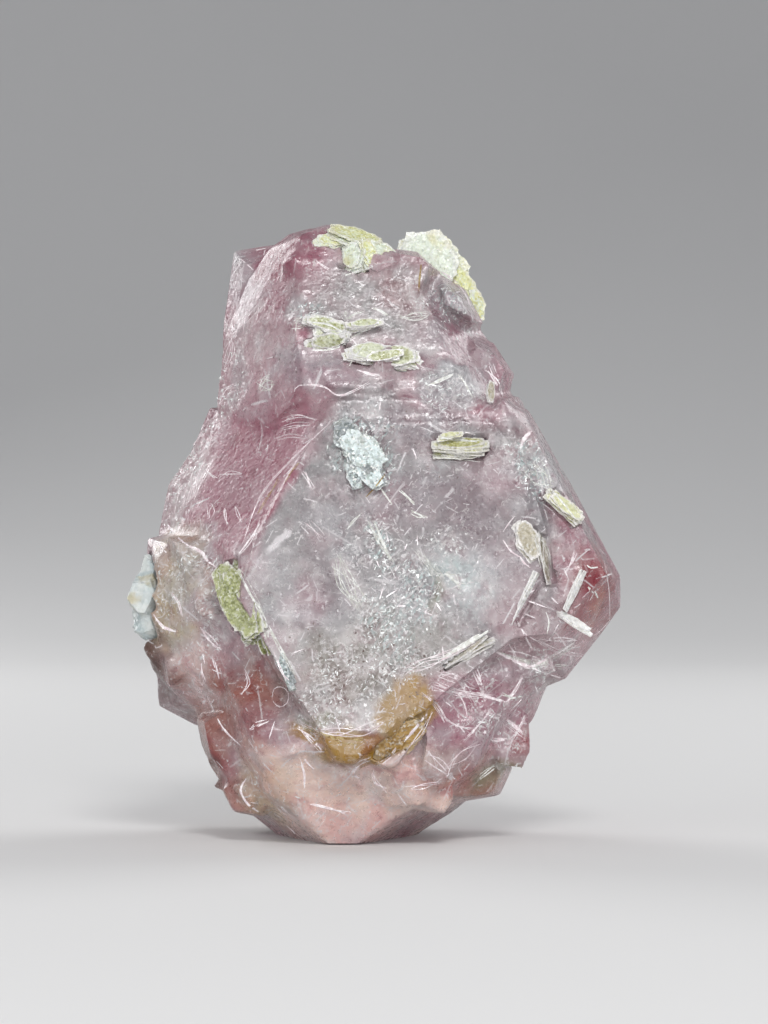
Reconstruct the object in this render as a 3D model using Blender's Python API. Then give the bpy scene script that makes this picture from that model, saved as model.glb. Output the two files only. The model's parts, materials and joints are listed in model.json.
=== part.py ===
"""A hand-sized cluster of pink apatite crystals with muscovite mica and a little albite.

Metres, +Z up. The cluster stands on its flat broken base, and its front faces -Y.
The origin is the middle of the specimen's box, at the base. Numbers in the tables
are millimetres: x to the right, y away from the viewer, z up from the base.
"""

import math
import random

import bmesh
import bpy
from mathutils import Euler, Matrix, Vector

HEIGHT = 0.048           # metres, the base to the tip of the upper crystal
DRAWN_HEIGHT = 48.0      # the same height in the tables below
MM = HEIGHT / DRAWN_HEIGHT
HALF_SIDE = 90.0         # half the block that each crystal is cut from
WELD = 1e-7              # metres, how near a cut may pass to a corner
MICA_GAP = 0.25          # clearance of a mica book in its pocket in the apatite
BASE_SINK = 0.5          # how far the lowest blocks reach below the base before it is cut flat
CHIP_RANGE = (0.35, 1.0)     # share of the full depth that a chip goes in
BACK_CHIPS = 7               # chips broken off each crystal at the back
BACK_CHIP_DEPTH = 0.6
LUMP_REACH = (0.86, 1.0)     # share of its ellipsoid that a lump's face reaches
LUMP_TILT = 0.16             # how far a lump's faces lean off the even spread
SHEET_REACH = (0.86, 1.0)    # share of a mica book's size that one sheet has
SHEET_SLIP = 0.12            # how far a sheet slides, as a share of the book's width
SHEET_OVERLAP = 0.62         # half a sheet's thickness as a share of the pitch, so that sheets join
SHEET_TURN = 9.0             # degrees that a sheet's side turns off the hexagon

APATITE_PINK = (0.71, 0.52, 0.55, 1.0)
MICA_MINT = (0.80, 0.84, 0.66, 1.0)
MICA_OLIVE = (0.48, 0.50, 0.22, 1.0)
MICA_SILVER = (0.74, 0.82, 0.81, 1.0)
MICA_TAN = (0.66, 0.58, 0.42, 1.0)
ALBITE_WHITE = (0.74, 0.78, 0.79, 1.0)


def clear_scene():
    """Removes what the scene starts with."""
    for obj in list(bpy.data.objects):
        bpy.data.objects.remove(obj)


def finish_of(name, colour, roughness):
    """One plain finish for a mineral."""
    material = bpy.data.materials.new(name)
    material.use_nodes = True
    shader = material.node_tree.nodes["Principled BSDF"]
    shader.inputs["Base Color"].default_value = colour
    shader.inputs["Roughness"].default_value = roughness
    shader.inputs["Metallic"].default_value = 0.0
    return material


def object_of(name, mesh_data, material):
    """Links a bmesh as a named object."""
    mesh = bpy.data.meshes.new(name)
    bmesh.ops.recalc_face_normals(mesh_data, faces=mesh_data.faces)
    mesh_data.to_mesh(mesh)
    mesh_data.free()
    mesh.materials.append(material)
    obj = bpy.data.objects.new(name, mesh)
    bpy.context.scene.collection.objects.link(obj)
    return obj


def cut_convex(planes):
    """A convex solid: a big cube cut by (point, outward normal) planes, in millimetres."""
    solid = bmesh.new()
    bmesh.ops.create_cube(solid, size=2 * HALF_SIDE * MM)
    for point, normal in planes:
        cut = bmesh.ops.bisect_plane(
            solid,
            geom=solid.verts[:] + solid.edges[:] + solid.faces[:],
            dist=WELD,
            plane_co=Vector(point) * MM,
            plane_no=Vector(normal).normalized(),
            clear_outer=True,
        )
        rim = [e for e in cut["geom_cut"] if isinstance(e, bmesh.types.BMEdge)]
        rim = [e for e in rim if len(e.link_faces) < 2]
        if len(rim) > 2:
            bmesh.ops.contextual_create(solid, geom=rim)
    bmesh.ops.dissolve_degenerate(solid, dist=WELD, edges=solid.edges[:])
    return solid


def chip_planes(solid, seed, count, depth):
    """Planes that break small flakes off a convex solid's corners."""
    chance = random.Random(seed)
    corners = [v.co / MM for v in solid.verts]
    planes = []
    for _ in range(count):
        normal = Vector([chance.gauss(0, 1) for _ in range(3)]).normalized()
        reach = max(corner.dot(normal) for corner in corners)
        planes.append((normal * (reach - depth * chance.uniform(*CHIP_RANGE)), normal))
    return planes


def slope_at(plane, x, z):
    """The depth y of a leaning face (y at the origin, y per x, y per z)."""
    return plane[0] + plane[1] * x + plane[2] * z


def face_planes(outline, girdle, face, insets, side):
    """Bevel planes from an outline's edges to a front (side -1) or back (side 1) face."""
    planes = []
    for i, (x0, z0) in enumerate(outline):
        x1, z1 = outline[(i + 1) % len(outline)]
        along = Vector((x1 - x0, 0, z1 - z0)).normalized()
        outward = Vector((along.z, 0, -along.x))
        depth = abs(slope_at(face, (x0 + x1) / 2, (z0 + z1) / 2) - girdle)
        inset = insets[i] if isinstance(insets, tuple) else insets
        planes.append(((x0, girdle, z0), outward * depth + Vector((0, side * inset, 0))))
    return planes


def lying_plane(face, side):
    """A leaning front or back face as a cutting plane."""
    return (0, face[0], 0), (-side * face[1], side, -side * face[2])


def block_planes(outline, girdle, front, back, front_inset, back_inset, cuts=()):
    """The faces of a crystal block seen from the front.

    outline holds (x, z) corners, counter-clockwise; girdle is the depth of its widest
    line; front and back are leaning faces; the insets set how far each bevel runs in.
    """
    planes = face_planes(outline, girdle, front, front_inset, -1)
    planes += face_planes(outline, girdle, back, back_inset, 1)
    planes += [lying_plane(front, -1), lying_plane(back, 1)]
    return planes + list(cuts)


def block(spec, seed, chips=0, chip_depth=0.6):
    """One crystal block, with its corners chipped."""
    planes = block_planes(**spec)
    if chips:
        whole = cut_convex(planes)
        planes += chip_planes(whole, seed, chips, chip_depth)
        whole.free()
    return cut_convex(planes)


def prism_planes(centre, axis, radius, length, spin, bevel, seed):
    """A six-sided apatite prism, grown unevenly, with flat ends and a narrow pyramid round each."""
    chance = random.Random(seed)
    axis = Vector(axis).normalized()
    side = axis.orthogonal().normalized()
    side.rotate(Matrix.Rotation(math.radians(spin), 3, axis))
    centre = Vector(centre)
    planes = [(centre + axis * length / 2, axis), (centre - axis * length / 2, -axis)]
    for i in range(6):
        out = side.copy()
        out.rotate(Matrix.Rotation(math.radians(60 * i), 3, axis))
        reach = radius * chance.uniform(1 - PRISM_UNEVEN, 1.0)
        planes.append((centre + out * reach, out))
        for end in (1, -1):
            corner = centre + out * (reach - bevel * chance.uniform(0.5, 1.2)) + axis * end * length / 2
            planes.append((corner, out + axis * end * PYRAMID_SLOPE))
    return planes


def lump_planes(centre, radii, seed, count):
    """A broken lump: planes that touch an ellipsoid all round."""
    chance = random.Random(seed)
    golden = math.pi * (3 - math.sqrt(5))
    planes = []
    for i in range(count):
        up = 1 - 2 * (i + 0.5) / count
        round_ = math.sqrt(1 - up * up)
        turn = golden * i + chance.uniform(-0.5, 0.5)
        way = Vector((math.cos(turn) * round_, math.sin(turn) * round_, up))
        way += Vector([chance.uniform(-LUMP_TILT, LUMP_TILT) for _ in range(3)])
        way.normalize()
        reach = math.sqrt(sum((r * w) ** 2 for r, w in zip(radii, way, strict=True)))
        planes.append((Vector(centre) + way * reach * chance.uniform(*LUMP_REACH), way))
    return planes


# The big blocks of the apatite, front to back. The centre crystal shows its flat end.
CENTRE_CRYSTAL = {
    "outline": (
        (-11.5, 34.6), (-16.2, 27.6), (-17.0, 23.4), (-9.7, 10.5), (-4.2, 5.0),
        (1.5, 4.4), (12.5, 13.6), (16.4, 20.0), (11.6, 34.5),
    ),
    "girdle": 0.5,
    "front": (-14.9, 0.06, 0.15),
    "back": (9.0, 0.05, 0.02),
    "front_inset": (8.1, 7.6, 4.0, 2.0, 1.8, 3.4, 2.6, 1.8, 0.5),
    "back_inset": 5.0,
}
RIGHT_CRYSTAL = {
    "outline": (
        (9.0, 34.6), (4.0, 20.0), (8.0, 12.0), (13.2, 10.2), (17.6, 15.8),
        (19.2, 18.0), (19.2, 20.4), (12.4, 33.2), (10.6, 34.3),
    ),
    "girdle": -2.8,
    "front": (-15.6, 0.14, 0.15),
    "back": (6.5, 0.05, -0.05),
    "front_inset": (0.6, 0.6, 3.4, 3.6, 1.6, 1.3, 1.1, 0.8, 0.6),
    "back_inset": 6.0,
    "cuts": (((15.0, -11.3, 16.4), (0.12, -0.42, -0.9)),),
}
UPPER_CRYSTAL = {
    "outline": (
        (-5.5, 48.0), (-9.4, 45.4), (-11.6, 40.0), (-12.4, 34.0), (-11.0, 26.0),
        (9.0, 26.0), (10.7, 34.2), (10.7, 36.4), (8.1, 40.3), (4.6, 44.9),
        (0.2, 46.7), (-2.4, 48.0),
    ),
    "girdle": 0.0,
    "front": (-24.2, 0.05, 0.43),
    "back": (9.6, 0.04, -0.06),
    "front_inset": (1.0, 4.4, 6.6, 7.6, 3.0, 2.0, 2.0, 1.8, 2.4, 1.5, 1.2, 0.6),
    "back_inset": 4.5,
    "cuts": (((0.0, -9.3, 34.3), (0.0, -0.55, -0.83)),),
}
LEFT_PRISM = {
    "outline": ((-11.1, 46.1), (-11.9, 40.4), (-12.3, 34.6), (-5.0, 33.0), (-4.6, 46.6), (-8.0, 46.6)),
    "girdle": 3.0,
    "front": (-4.4, -0.28, 0.06),
    "back": (8.2, 0.1, -0.02),
    "front_inset": (0.9, 0.9, 0.8, 1.0, 1.0, 1.3),
    "back_inset": 2.2,
}
BOTTOM_MASS = {
    "outline": (
        (-13.9, 12.0), (-13.9, 9.0), (-13.0, 5.5), (-11.4, 2.9), (-8.6, 0.7),
        (-6.9, -BASE_SINK), (3.6, -BASE_SINK), (6.2, 1.7), (10.0, 4.0), (12.4, 9.2),
        (13.0, 14.0), (0.0, 18.0), (-8.0, 18.0),
    ),
    "girdle": 0.5,
    "front": (-8.7, 0.05, -0.34),
    "back": (8.6, 0.0, 0.12),
    "front_inset": (4.0, 4.4, 4.0, 3.0, 1.8, 0.6, 2.0, 2.6, 3.0, 3.0, 1.0, 1.0, 1.0),
    "back_inset": 2.6,
    "cuts": (((0.0, -11.8, 9.4), (0.0, -0.8, 0.6)),),
}
LEFT_BULGE = {
    "outline": (
        (-15.9, 24.0), (-17.4, 22.2), (-18.2, 19.0), (-18.3, 15.4), (-17.5, 12.9),
        (-15.2, 10.3), (-12.8, 8.4), (-6.0, 9.0), (-5.0, 21.0), (-10.0, 24.4),
    ),
    "girdle": 0.6,
    "front": (-14.3, -0.52, 0.02),
    "back": (8.2, 0.1, -0.06),
    "front_inset": (1.6, 1.8, 2.0, 2.4, 2.6, 3.0, 2.2, 1.0, 0.6, 1.2),
    "back_inset": 4.0,
}
RIGHT_BREAK = {
    "outline": (
        (4.2, 13.0), (2.6, 5.0), (6.5, 2.4), (9.8, 3.4), (11.4, 6.1), (12.6, 9.2),
        (15.5, 12.9), (17.2, 15.6), (13.0, 17.8), (8.8, 17.2),
    ),
    "girdle": -0.5,
    "front": (-14.0, 0.44, -0.02),
    "back": (6.4, -0.1, 0.03),
    "front_inset": (0.8, 0.8, 2.0, 2.4, 2.2, 2.2, 2.2, 1.4, 0.6, 0.6),
    "back_inset": 3.5,
}

# Smaller blocks that stand out of the big ones on the front.
UPPER_STEP = {
    "outline": ((0.6, 46.2), (-0.6, 42.0), (4.2, 41.2), (5.2, 44.2), (3.4, 45.8)),
    "girdle": -1.0,
    "front": (-23.0, -0.05, 0.40),
    "back": (3.0, 0.0, 0.0),
    "front_inset": (0.5, 0.7, 1.0, 0.4, 0.6),
    "back_inset": 0.5,
}
LENS_FACET = {
    "outline": ((4.7, 43.4), (5.0, 40.8), (7.9, 39.4), (8.6, 40.2), (7.2, 42.9), (5.4, 44.0)),
    "girdle": -0.5,
    "front": (-22.0, 0.16, 0.38),
    "back": (3.0, 0.0, 0.0),
    "front_inset": (0.5, 0.8, 1.1, 0.9, 1.0, 0.5),
    "back_inset": 0.5,
}
RIGHT_STEP = {
    "outline": ((7.6, 39.6), (6.6, 34.8), (10.4, 33.4), (11.0, 36.2), (9.4, 38.6)),
    "girdle": -1.0,
    "front": (-21.0, 0.3, 0.36),
    "back": (3.0, 0.0, 0.0),
    "front_inset": (0.6, 0.8, 1.0, 0.6, 0.9),
    "back_inset": 0.5,
}
UPPER_LEDGE = {
    "outline": ((-8.4, 37.8), (-8.0, 35.2), (-3.2, 34.0), (1.6, 33.8), (2.2, 36.6), (-2.6, 37.4)),
    "girdle": -4.0,
    "front": (-28.9, 0.04, 0.55),
    "back": (2.0, 0.0, 0.0),
    "front_inset": (3.8, 1.0, 0.8, 0.8, 0.5, 0.8),
    "back_inset": 0.4,
}
OCHRE_LEDGE = {
    "outline": ((-2.9, 8.2), (-2.2, 5.4), (0.6, 5.6), (1.6, 5.2), (5.0, 9.6), (5.2, 12.0), (2.0, 12.4)),
    "girdle": -8.0,
    "front": (-13.6, 0.08, 0.08),
    "back": (0.0, 0.0, 0.0),
    "front_inset": (0.6, 0.5, 0.6, 0.5, 0.9, 0.6, 0.4),
    "back_inset": 0.4,
}
CREAM_BLOCK = {
    "outline": ((-9.0, 5.9), (-9.1, 3.6), (-6.9, 1.7), (-3.0, 1.0), (-2.6, 5.2), (-5.2, 6.6)),
    "girdle": -2.0,
    "front": (-7.6, 0.12, -0.34),
    "back": (4.0, 0.0, 0.0),
    "front_inset": (0.6, 0.9, 1.0, 0.6, 0.5, 0.8),
    "back_inset": 0.4,
}
SHADED_BLOCK = {
    "outline": ((-14.0, 9.4), (-13.4, 6.4), (-11.2, 3.2), (-8.8, 1.2), (-8.4, 8.6), (-11.0, 11.4)),
    "girdle": -0.4,
    "front": (-12.2, -0.6, -0.2),
    "back": (5.0, 0.0, 0.0),
    "front_inset": (0.8, 0.8, 0.9, 0.5, 0.5, 0.8),
    "back_inset": 0.5,
}
CORNER_BLOCK = {
    "outline": ((5.0, 6.4), (5.2, 2.4), (9.9, 3.2), (10.9, 5.4), (9.2, 7.4)),
    "girdle": -1.0,
    "front": (-8.8, 0.34, -0.1),
    "back": (4.0, 0.0, 0.0),
    "front_inset": (0.5, 0.7, 0.9, 0.8, 0.6),
    "back_inset": 0.5,
}
NOTCH_BLOCK = {
    "outline": ((-17.7, 23.3), (-17.9, 20.8), (-14.4, 16.4), (-11.6, 17.2), (-11.2, 21.4), (-14.6, 24.2)),
    "girdle": -1.0,
    "front": (-16.8, -0.62, 0.1),
    "back": (4.0, 0.0, 0.0),
    "front_inset": (0.8, 0.9, 0.9, 0.6, 0.6, 0.8),
    "back_inset": 0.5,
}
FRONT_BLOCKS = (
    (RIGHT_CRYSTAL, 10, 0.5), (UPPER_CRYSTAL, 14, 0.7), (LEFT_PRISM, 6, 0.5),
    (BOTTOM_MASS, 10, 0.8), (LEFT_BULGE, 16, 1.0), (RIGHT_BREAK, 14, 0.8),
    (UPPER_STEP, 5, 0.4), (LENS_FACET, 5, 0.4), (RIGHT_STEP, 5, 0.4),
    (UPPER_LEDGE, 5, 0.4), (OCHRE_LEDGE, 6, 0.3), (CREAM_BLOCK, 5, 0.4),
    (SHADED_BLOCK, 6, 0.5), (CORNER_BLOCK, 5, 0.5), (NOTCH_BLOCK, 7, 0.5),
)

# Growth steps along the left edge of the flat end, each a strip: (inset, width, rise, start, stop).
RIDGE_FOOT = Vector((-9.7, 22.6))
RIDGE_HEAD = Vector((-1.9, 33.5))
RIDGE_STEPS = (
    (0.35, 0.55, 0.30, 0.02, 0.86),
    (1.30, 0.45, 0.34, 0.10, 0.66),
    (2.15, 0.60, 0.22, 0.05, 0.95),
)
STEP_BURY = 1.2

# Low terraces on the flat end: outline and rise above it.
TERRACES = (
    (((-5.4, 12.4), (-2.6, 9.2), (1.6, 8.6), (9.4, 18.6), (4.4, 22.8), (-2.6, 21.4)), 0.26),
    (((5.6, 26.4), (11.2, 23.2), (12.0, 28.4), (9.0, 32.4), (-1.4, 32.2), (-0.8, 30.6)), 0.22),
)

# Six-sided crystals that show at the back and the sides: centre, axis, radius, length, spin, bevel.
PRISM_UNEVEN = 0.24
PYRAMID_SLOPE = 1.15
BACK_PRISMS = (
    ((-2.5, 6.0, 20.5), (0.10, 1.0, 0.16), 9.2, 12.5, 12, 1.5),
    ((7.4, 5.4, 27.0), (0.42, 1.0, 0.30), 5.2, 10.5, 40, 1.0),
    ((-9.4, 4.4, 30.0), (-0.62, 1.0, 0.26), 4.0, 9.0, 5, 0.8),
    ((3.4, 6.6, 38.0), (0.22, 1.0, 0.62), 4.4, 8.6, 25, 0.9),
    ((8.4, 3.8, 13.4), (0.60, 1.0, -0.20), 3.9, 9.6, 18, 0.8),
    ((-11.4, 4.4, 13.0), (-0.75, 1.0, -0.12), 4.6, 9.6, 33, 0.8),
)

# Broken lumps that fill between the crystals: centre, radii, number of faces.
LUMPS = (
    ((-3.0, 3.6, 34.0), (8.0, 6.8, 10.0), 30),
    ((1.0, 4.0, 9.6), (9.4, 6.4, 8.6), 34),
    ((10.4, 1.4, 21.4), (4.6, 5.4, 7.6), 26),
    ((-13.6, 1.6, 20.0), (3.6, 4.6, 6.4), 24),
    ((-6.0, 5.0, 5.6), (6.4, 5.6, 5.8), 26),
)

# Shards: small broken crystals fused along a line. Start, end, number, size, spread.
SHARDS = (
    ((-15.6, -2.6, 20.6), (-15.0, -3.2, 12.6), 9, 1.7, 0.6),
    ((-14.6, -4.6, 22.4), (-9.8, -8.0, 16.0), 8, 1.5, 0.6),
    ((-12.2, -3.6, 7.6), (-8.2, -6.0, 2.8), 6, 1.5, 0.5),
    ((-7.4, -9.6, 8.0), (4.2, -9.7, 3.4), 7, 1.6, 0.6),
    ((6.6, -9.4, 12.6), (13.6, -7.6, 14.4), 10, 1.6, 0.7),
    ((5.6, -7.8, 7.4), (10.6, -5.4, 8.6), 7, 1.6, 0.5),
    ((-7.0, -3.6, 44.2), (2.4, -4.0, 43.8), 6, 1.3, 0.5),
    ((-4.6, -8.0, 36.6), (8.2, -7.0, 35.4), 7, 1.2, 0.4),
    ((12.2, 2.4, 26.0), (14.2, 1.4, 18.6), 6, 1.8, 0.6),
    ((-8.0, 7.6, 6.0), (7.6, 7.6, 6.6), 7, 2.0, 0.8),
    ((-9.4, 7.0, 24.0), (-5.8, 8.0, 38.0), 7, 1.9, 0.8),
    ((6.0, 8.4, 31.0), (9.4, 6.0, 16.0), 7, 1.9, 0.8),
)
SHARD_FACES = 9
SHARD_SHAPE = (1.0, 0.55, 1.5)


def strip_on_face(face, rise, corners):
    """A thin slab that stands `rise` out of a leaning front face."""
    raised = (face[0] - rise, face[1], face[2])
    sunk = (face[0] + STEP_BURY, face[1], face[2])
    middle = sum((Vector(c) for c in corners), Vector((0, 0))) / len(corners)
    girdle = slope_at(face, middle.x, middle.y)
    return block_planes(corners, girdle, raised, sunk, rise * 0.5, 0.0)


def ridge_steps():
    """The fine parallel steps beside the left edge of the flat end."""
    along = RIDGE_HEAD - RIDGE_FOOT
    inward = Vector((along.y, -along.x)).normalized()
    for inset, width, rise, start, stop in RIDGE_STEPS:
        low = RIDGE_FOOT + along * start
        high = RIDGE_FOOT + along * stop
        near, far = inward * inset, inward * (inset + width)
        corners = [tuple(low + near), tuple(low + far), tuple(high + far), tuple(high + near)]
        yield strip_on_face(CENTRE_CRYSTAL["front"], rise, corners)


def shard_planes(seed, start, end, count, size, spread):
    """Small broken crystals, each a tilted flat chip, strewn along a line."""
    chance = random.Random(seed)
    start, end = Vector(start), Vector(end)
    for i in range(count):
        place = start.lerp(end, (i + chance.uniform(0.2, 0.8)) / count)
        place += Vector([chance.uniform(-spread, spread) for _ in range(3)])
        scale = size * chance.uniform(0.6, 1.1)
        radii = tuple(scale * r for r in SHARD_SHAPE)
        tilt = Euler([chance.uniform(-1.6, 1.6) for _ in range(3)]).to_matrix()
        faces = lump_planes((0, 0, 0), radii, chance.randrange(10000), SHARD_FACES)
        yield [(place + tilt @ point, tilt @ normal) for point, normal in faces]


def apatite_blocks():
    """Every solid that the apatite is fused from, besides the centre crystal."""
    for i, (spec, chips, depth) in enumerate(FRONT_BLOCKS):
        yield block(spec, seed=100 + i, chips=chips, chip_depth=depth)
    for planes in ridge_steps():
        yield cut_convex(planes)
    for corners, rise in TERRACES:
        yield cut_convex(strip_on_face(CENTRE_CRYSTAL["front"], rise, corners))
    for i, spec in enumerate(BACK_PRISMS):
        planes = prism_planes(*spec, seed=500 + i)
        whole = cut_convex(planes)
        planes += chip_planes(whole, 600 + i, BACK_CHIPS, BACK_CHIP_DEPTH)
        whole.free()
        yield cut_convex(planes)
    for i, (centre, radii, count) in enumerate(LUMPS):
        yield cut_convex(lump_planes(centre, radii, 200 + i, count))
    for i, line in enumerate(SHARDS):
        for planes in shard_planes(300 + i, *line):
            yield cut_convex(planes)


def helper_collection(name, solids, material):
    """Hidden helper objects that a Boolean reads as one collection."""
    collection = bpy.data.collections.new(name)
    bpy.context.scene.collection.children.link(collection)
    for i, solid in enumerate(solids):
        helper = object_of(f"{name}_{i:03d}", solid, material)
        bpy.context.scene.collection.objects.unlink(helper)
        collection.objects.link(helper)
        helper.hide_render = True
        helper.display_type = "WIRE"
    return collection


def add_boolean(obj, operation, collection):
    """A live Boolean against every helper in a collection."""
    modifier = obj.modifiers.new(operation.lower(), "BOOLEAN")
    modifier.operation = operation
    modifier.solver = "EXACT"
    modifier.operand_type = "COLLECTION"
    modifier.collection = collection


def shells_of(mesh_data):
    """The separate closed shells of a bmesh, each a set of faces."""
    left = set(mesh_data.faces)
    shells = []
    while left:
        shell = set()
        queue = [left.pop()]
        while queue:
            face = queue.pop()
            shell.add(face)
            for edge in face.edges:
                for other in edge.link_faces:
                    if other in left:
                        left.discard(other)
                        queue.append(other)
        shells.append(shell)
    return shells


def keep_main_shell(obj):
    """Settles an object's Booleans and drops any crumb or sealed cavity that they leave."""
    settled = bpy.data.meshes.new_from_object(obj.evaluated_get(bpy.context.evaluated_depsgraph_get()))
    solid = bmesh.new()
    solid.from_mesh(settled)
    shells = sorted(shells_of(solid), key=len)
    crumbs = [face for shell in shells[:-1] for face in shell]
    bmesh.ops.delete(solid, geom=crumbs, context="FACES")
    solid.to_mesh(settled)
    solid.free()
    obj.modifiers.clear()
    obj.data = settled


# Mica books: a stack of thin six-sided sheets. Centre, sheet normal, in-plane direction of the
# long side, half length, half width, thickness, number of sheets, raggedness and seed.
MICA_BOOKS = {
    "mica_book_top_right": (
        ((4.6, 2.4, 44.9), (-0.10, -1.0, 0.16), (1, 0, -0.12), 2.9, 2.6, 3.2, 4, 0.16, 11),
        ((6.9, 2.2, 42.8), (0.20, -1.0, 0.10), (0.55, 0, -1), 2.3, 1.15, 2.6, 3, 0.14, 12),
        ((7.9, 1.9, 41.6), (0.30, -1.0, 0.05), (0.1, 0, -1), 1.5, 0.65, 2.0, 2, 0.12, 13),
    ),
    "mica_cluster_top": (
        ((-1.7, -3.2, 46.45), (0.25, -0.5, 0.85), (1, 0.1, -0.1), 2.2, 1.5, 1.5, 3, 0.18, 21),
        ((-1.3, -4.5, 45.1), (-0.5, -0.8, 0.25), (0.25, -0.1, -1), 1.5, 1.1, 1.6, 3, 0.16, 22),
        ((0.6, -3.6, 45.3), (0.45, -0.6, 0.5), (1, 0, -0.7), 1.5, 0.9, 1.2, 2, 0.16, 23),
    ),
    "mica_bent_leaf": (
        ((-3.6, -7.8, 38.6), (0.15, -0.62, -0.76), (1, 0.02, 0.12), 1.75, 0.85, 0.42, 2, 0.10, 31),
        ((-3.7, -7.6, 39.5), (0.30, -0.55, 0.78), (1, 0.06, -0.42), 1.7, 0.75, 0.36, 2, 0.10, 32),
    ),
    "mica_book_upper": (
        ((-0.2, -7.4, 37.3), (0.10, -0.55, 0.83), (1, 0, -0.10), 2.1, 1.0, 0.9, 3, 0.18, 41),
        ((1.5, -7.4, 36.7), (-0.10, -0.80, 0.55), (1, 0, -0.35), 1.7, 0.9, 1.0, 3, 0.16, 42),
    ),
    "mica_book_right": (
        ((6.6, -10.0, 30.2), (0.02, -0.50, 0.87), (1, 0.05, -0.10), 2.35, 1.0, 1.1, 3, 0.12, 51),
    ),
    "mica_wedge_left": (
        ((-10.6, -10.4, 18.9), (-0.62, -0.74, 0.25), (0.50, -0.1, -1), 3.3, 1.25, 2.0, 4, 0.14, 61),
    ),
    "mica_blade_left": (
        ((-7.2, -12.2, 13.9), (-0.55, -0.8, 0.2), (0.62, -0.06, -0.95), 2.1, 0.62, 0.8, 3, 0.08, 71),
    ),
    "mica_wedge_right": (
        ((14.6, -9.8, 25.7), (0.30, -0.92, 0.2), (1, 0.1, -0.86), 2.1, 0.80, 0.8, 3, 0.12, 81),
    ),
    "mica_book_lower_right": (
        ((11.8, -10.9, 23.1), (0.10, -0.98, 0.1), (0.5, 0.05, -0.9), 1.5, 0.95, 0.8, 3, 0.14, 91),
        ((13.2, -10.6, 21.8), (0.94, -0.30, 0.2), (0.12, 0.0, -1), 2.4, 0.75, 0.5, 3, 0.12, 92),
    ),
    "mica_blade_lower": (
        ((7.1, -12.0, 14.8), (-0.45, -0.5, 0.8), (0.83, 0.02, 0.56), 2.5, 0.6, 0.55, 3, 0.08, 101),
    ),
    "mica_needle_centre": (
        ((11.8, -11.2, 18.7), (0.70, -0.55, -0.3), (0.46, 0.02, 0.89), 2.35, 0.42, 0.34, 2, 0.04, 111),
    ),
    "mica_needle_red": (
        ((15.2, -10.9, 19.5), (0.75, -0.55, -0.3), (0.50, 0.02, 0.86), 1.9, 0.45, 0.40, 2, 0.06, 121),
    ),
    "mica_blade_red": (
        ((15.2, -11.0, 17.0), (0.35, -0.60, 0.72), (0.83, 0.04, -0.56), 1.75, 0.5, 0.5, 3, 0.08, 131),
    ),
    "mica_sheet_silver": (
        ((-1.1, -11.2, 29.6), (0.02, -0.988, 0.15), (0.42, -0.14, -0.9), 3.5, 1.65, 0.5, 3, 0.16, 141),
    ),
    "mica_book_ochre": (
        ((1.9, -12.3, 8.2), (0.25, -0.85, -0.46), (0.72, 0.0, 0.69), 2.6, 1.0, 1.0, 3, 0.12, 151),
    ),
    "mica_flake_brown": (
        ((9.1, -8.6, 34.3), (0.55, -0.75, 0.35), (0.62, 0.0, 0.79), 1.25, 0.50, 0.45, 3, 0.10, 161),
    ),
    "mica_book_back": (
        ((4.6, 11.6, 20.6), (0.25, 0.9, 0.30), (1, -0.2, 0.35), 2.9, 1.7, 1.8, 4, 0.16, 171),
    ),
    "mica_book_back_low": (
        ((-7.4, 9.6, 12.2), (-0.30, 0.85, 0.42), (0.7, 0.1, 0.7), 2.2, 1.2, 1.4, 3, 0.16, 181),
    ),
}
MICA_COLOURS = {
    "mica_book_top_right": MICA_MINT,
    "mica_cluster_top": MICA_MINT,
    "mica_sheet_silver": MICA_SILVER,
    "mica_blade_left": MICA_SILVER,
    "mica_needle_centre": MICA_SILVER,
    "mica_needle_red": MICA_SILVER,
    "mica_blade_lower": MICA_TAN,
    "mica_book_ochre": MICA_TAN,
    "mica_flake_brown": MICA_TAN,
}


def sheet_planes(centre, normal, along, half_length, half_width, half_thick, ragged, chance):
    """One mica sheet: a thin plate with six uneven sides."""
    normal = Vector(normal).normalized()
    along = Vector(along)
    along = (along - normal * along.dot(normal)).normalized()
    across = normal.cross(along)
    planes = [(centre + normal * half_thick, normal), (centre - normal * half_thick, -normal)]
    for i in range(6):
        turn = math.radians(60 * i + 30 + chance.uniform(-SHEET_TURN, SHEET_TURN))
        way = along * math.cos(turn) + across * math.sin(turn)
        reach = math.hypot(half_length * math.cos(turn), half_width * math.sin(turn))
        planes.append((centre + way * reach * (1 - chance.uniform(0, ragged)), way))
    return planes


def mica_sheets(books, grow):
    """Every sheet of one mica piece, each grown by `grow` on all sides."""
    for centre, normal, along, length, width, thick, count, ragged, seed in books:
        chance = random.Random(seed)
        unit = Vector(normal).normalized()
        pitch = thick / count
        for i in range(count):
            offset = (i - (count - 1) / 2) * pitch
            slip = Vector([chance.uniform(-SHEET_SLIP, SHEET_SLIP) * width for _ in range(3)])
            place = Vector(centre) + unit * offset + (slip - unit * slip.dot(unit))
            yield sheet_planes(
                place, normal, along,
                length * chance.uniform(*SHEET_REACH) + grow,
                width * chance.uniform(*SHEET_REACH) + grow,
                pitch * SHEET_OVERLAP + grow, ragged, chance,
            )


def mica_piece(name, books):
    """A mica piece: its sheets fused into one solid."""
    material = finish_of(name, MICA_COLOURS.get(name, MICA_OLIVE), 0.3)
    solids = [cut_convex(planes) for planes in mica_sheets(books, 0.0)]
    obj = object_of(name, solids[0], material)
    if len(solids) > 1:
        add_boolean(obj, "UNION", helper_collection(name + "_sheets", solids[1:], material))
        keep_main_shell(obj)
    return obj


# The pale albite crystals on the left edge: centre, radii and number of faces.
ALBITE_LUMPS = (
    ((-17.6, -2.2, 18.9), (1.3, 1.6, 2.0), 16),
    ((-17.5, -2.4, 17.0), (0.95, 1.2, 1.6), 14),
    ((-17.2, -1.6, 20.9), (0.95, 1.2, 1.1), 14),
)


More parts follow.
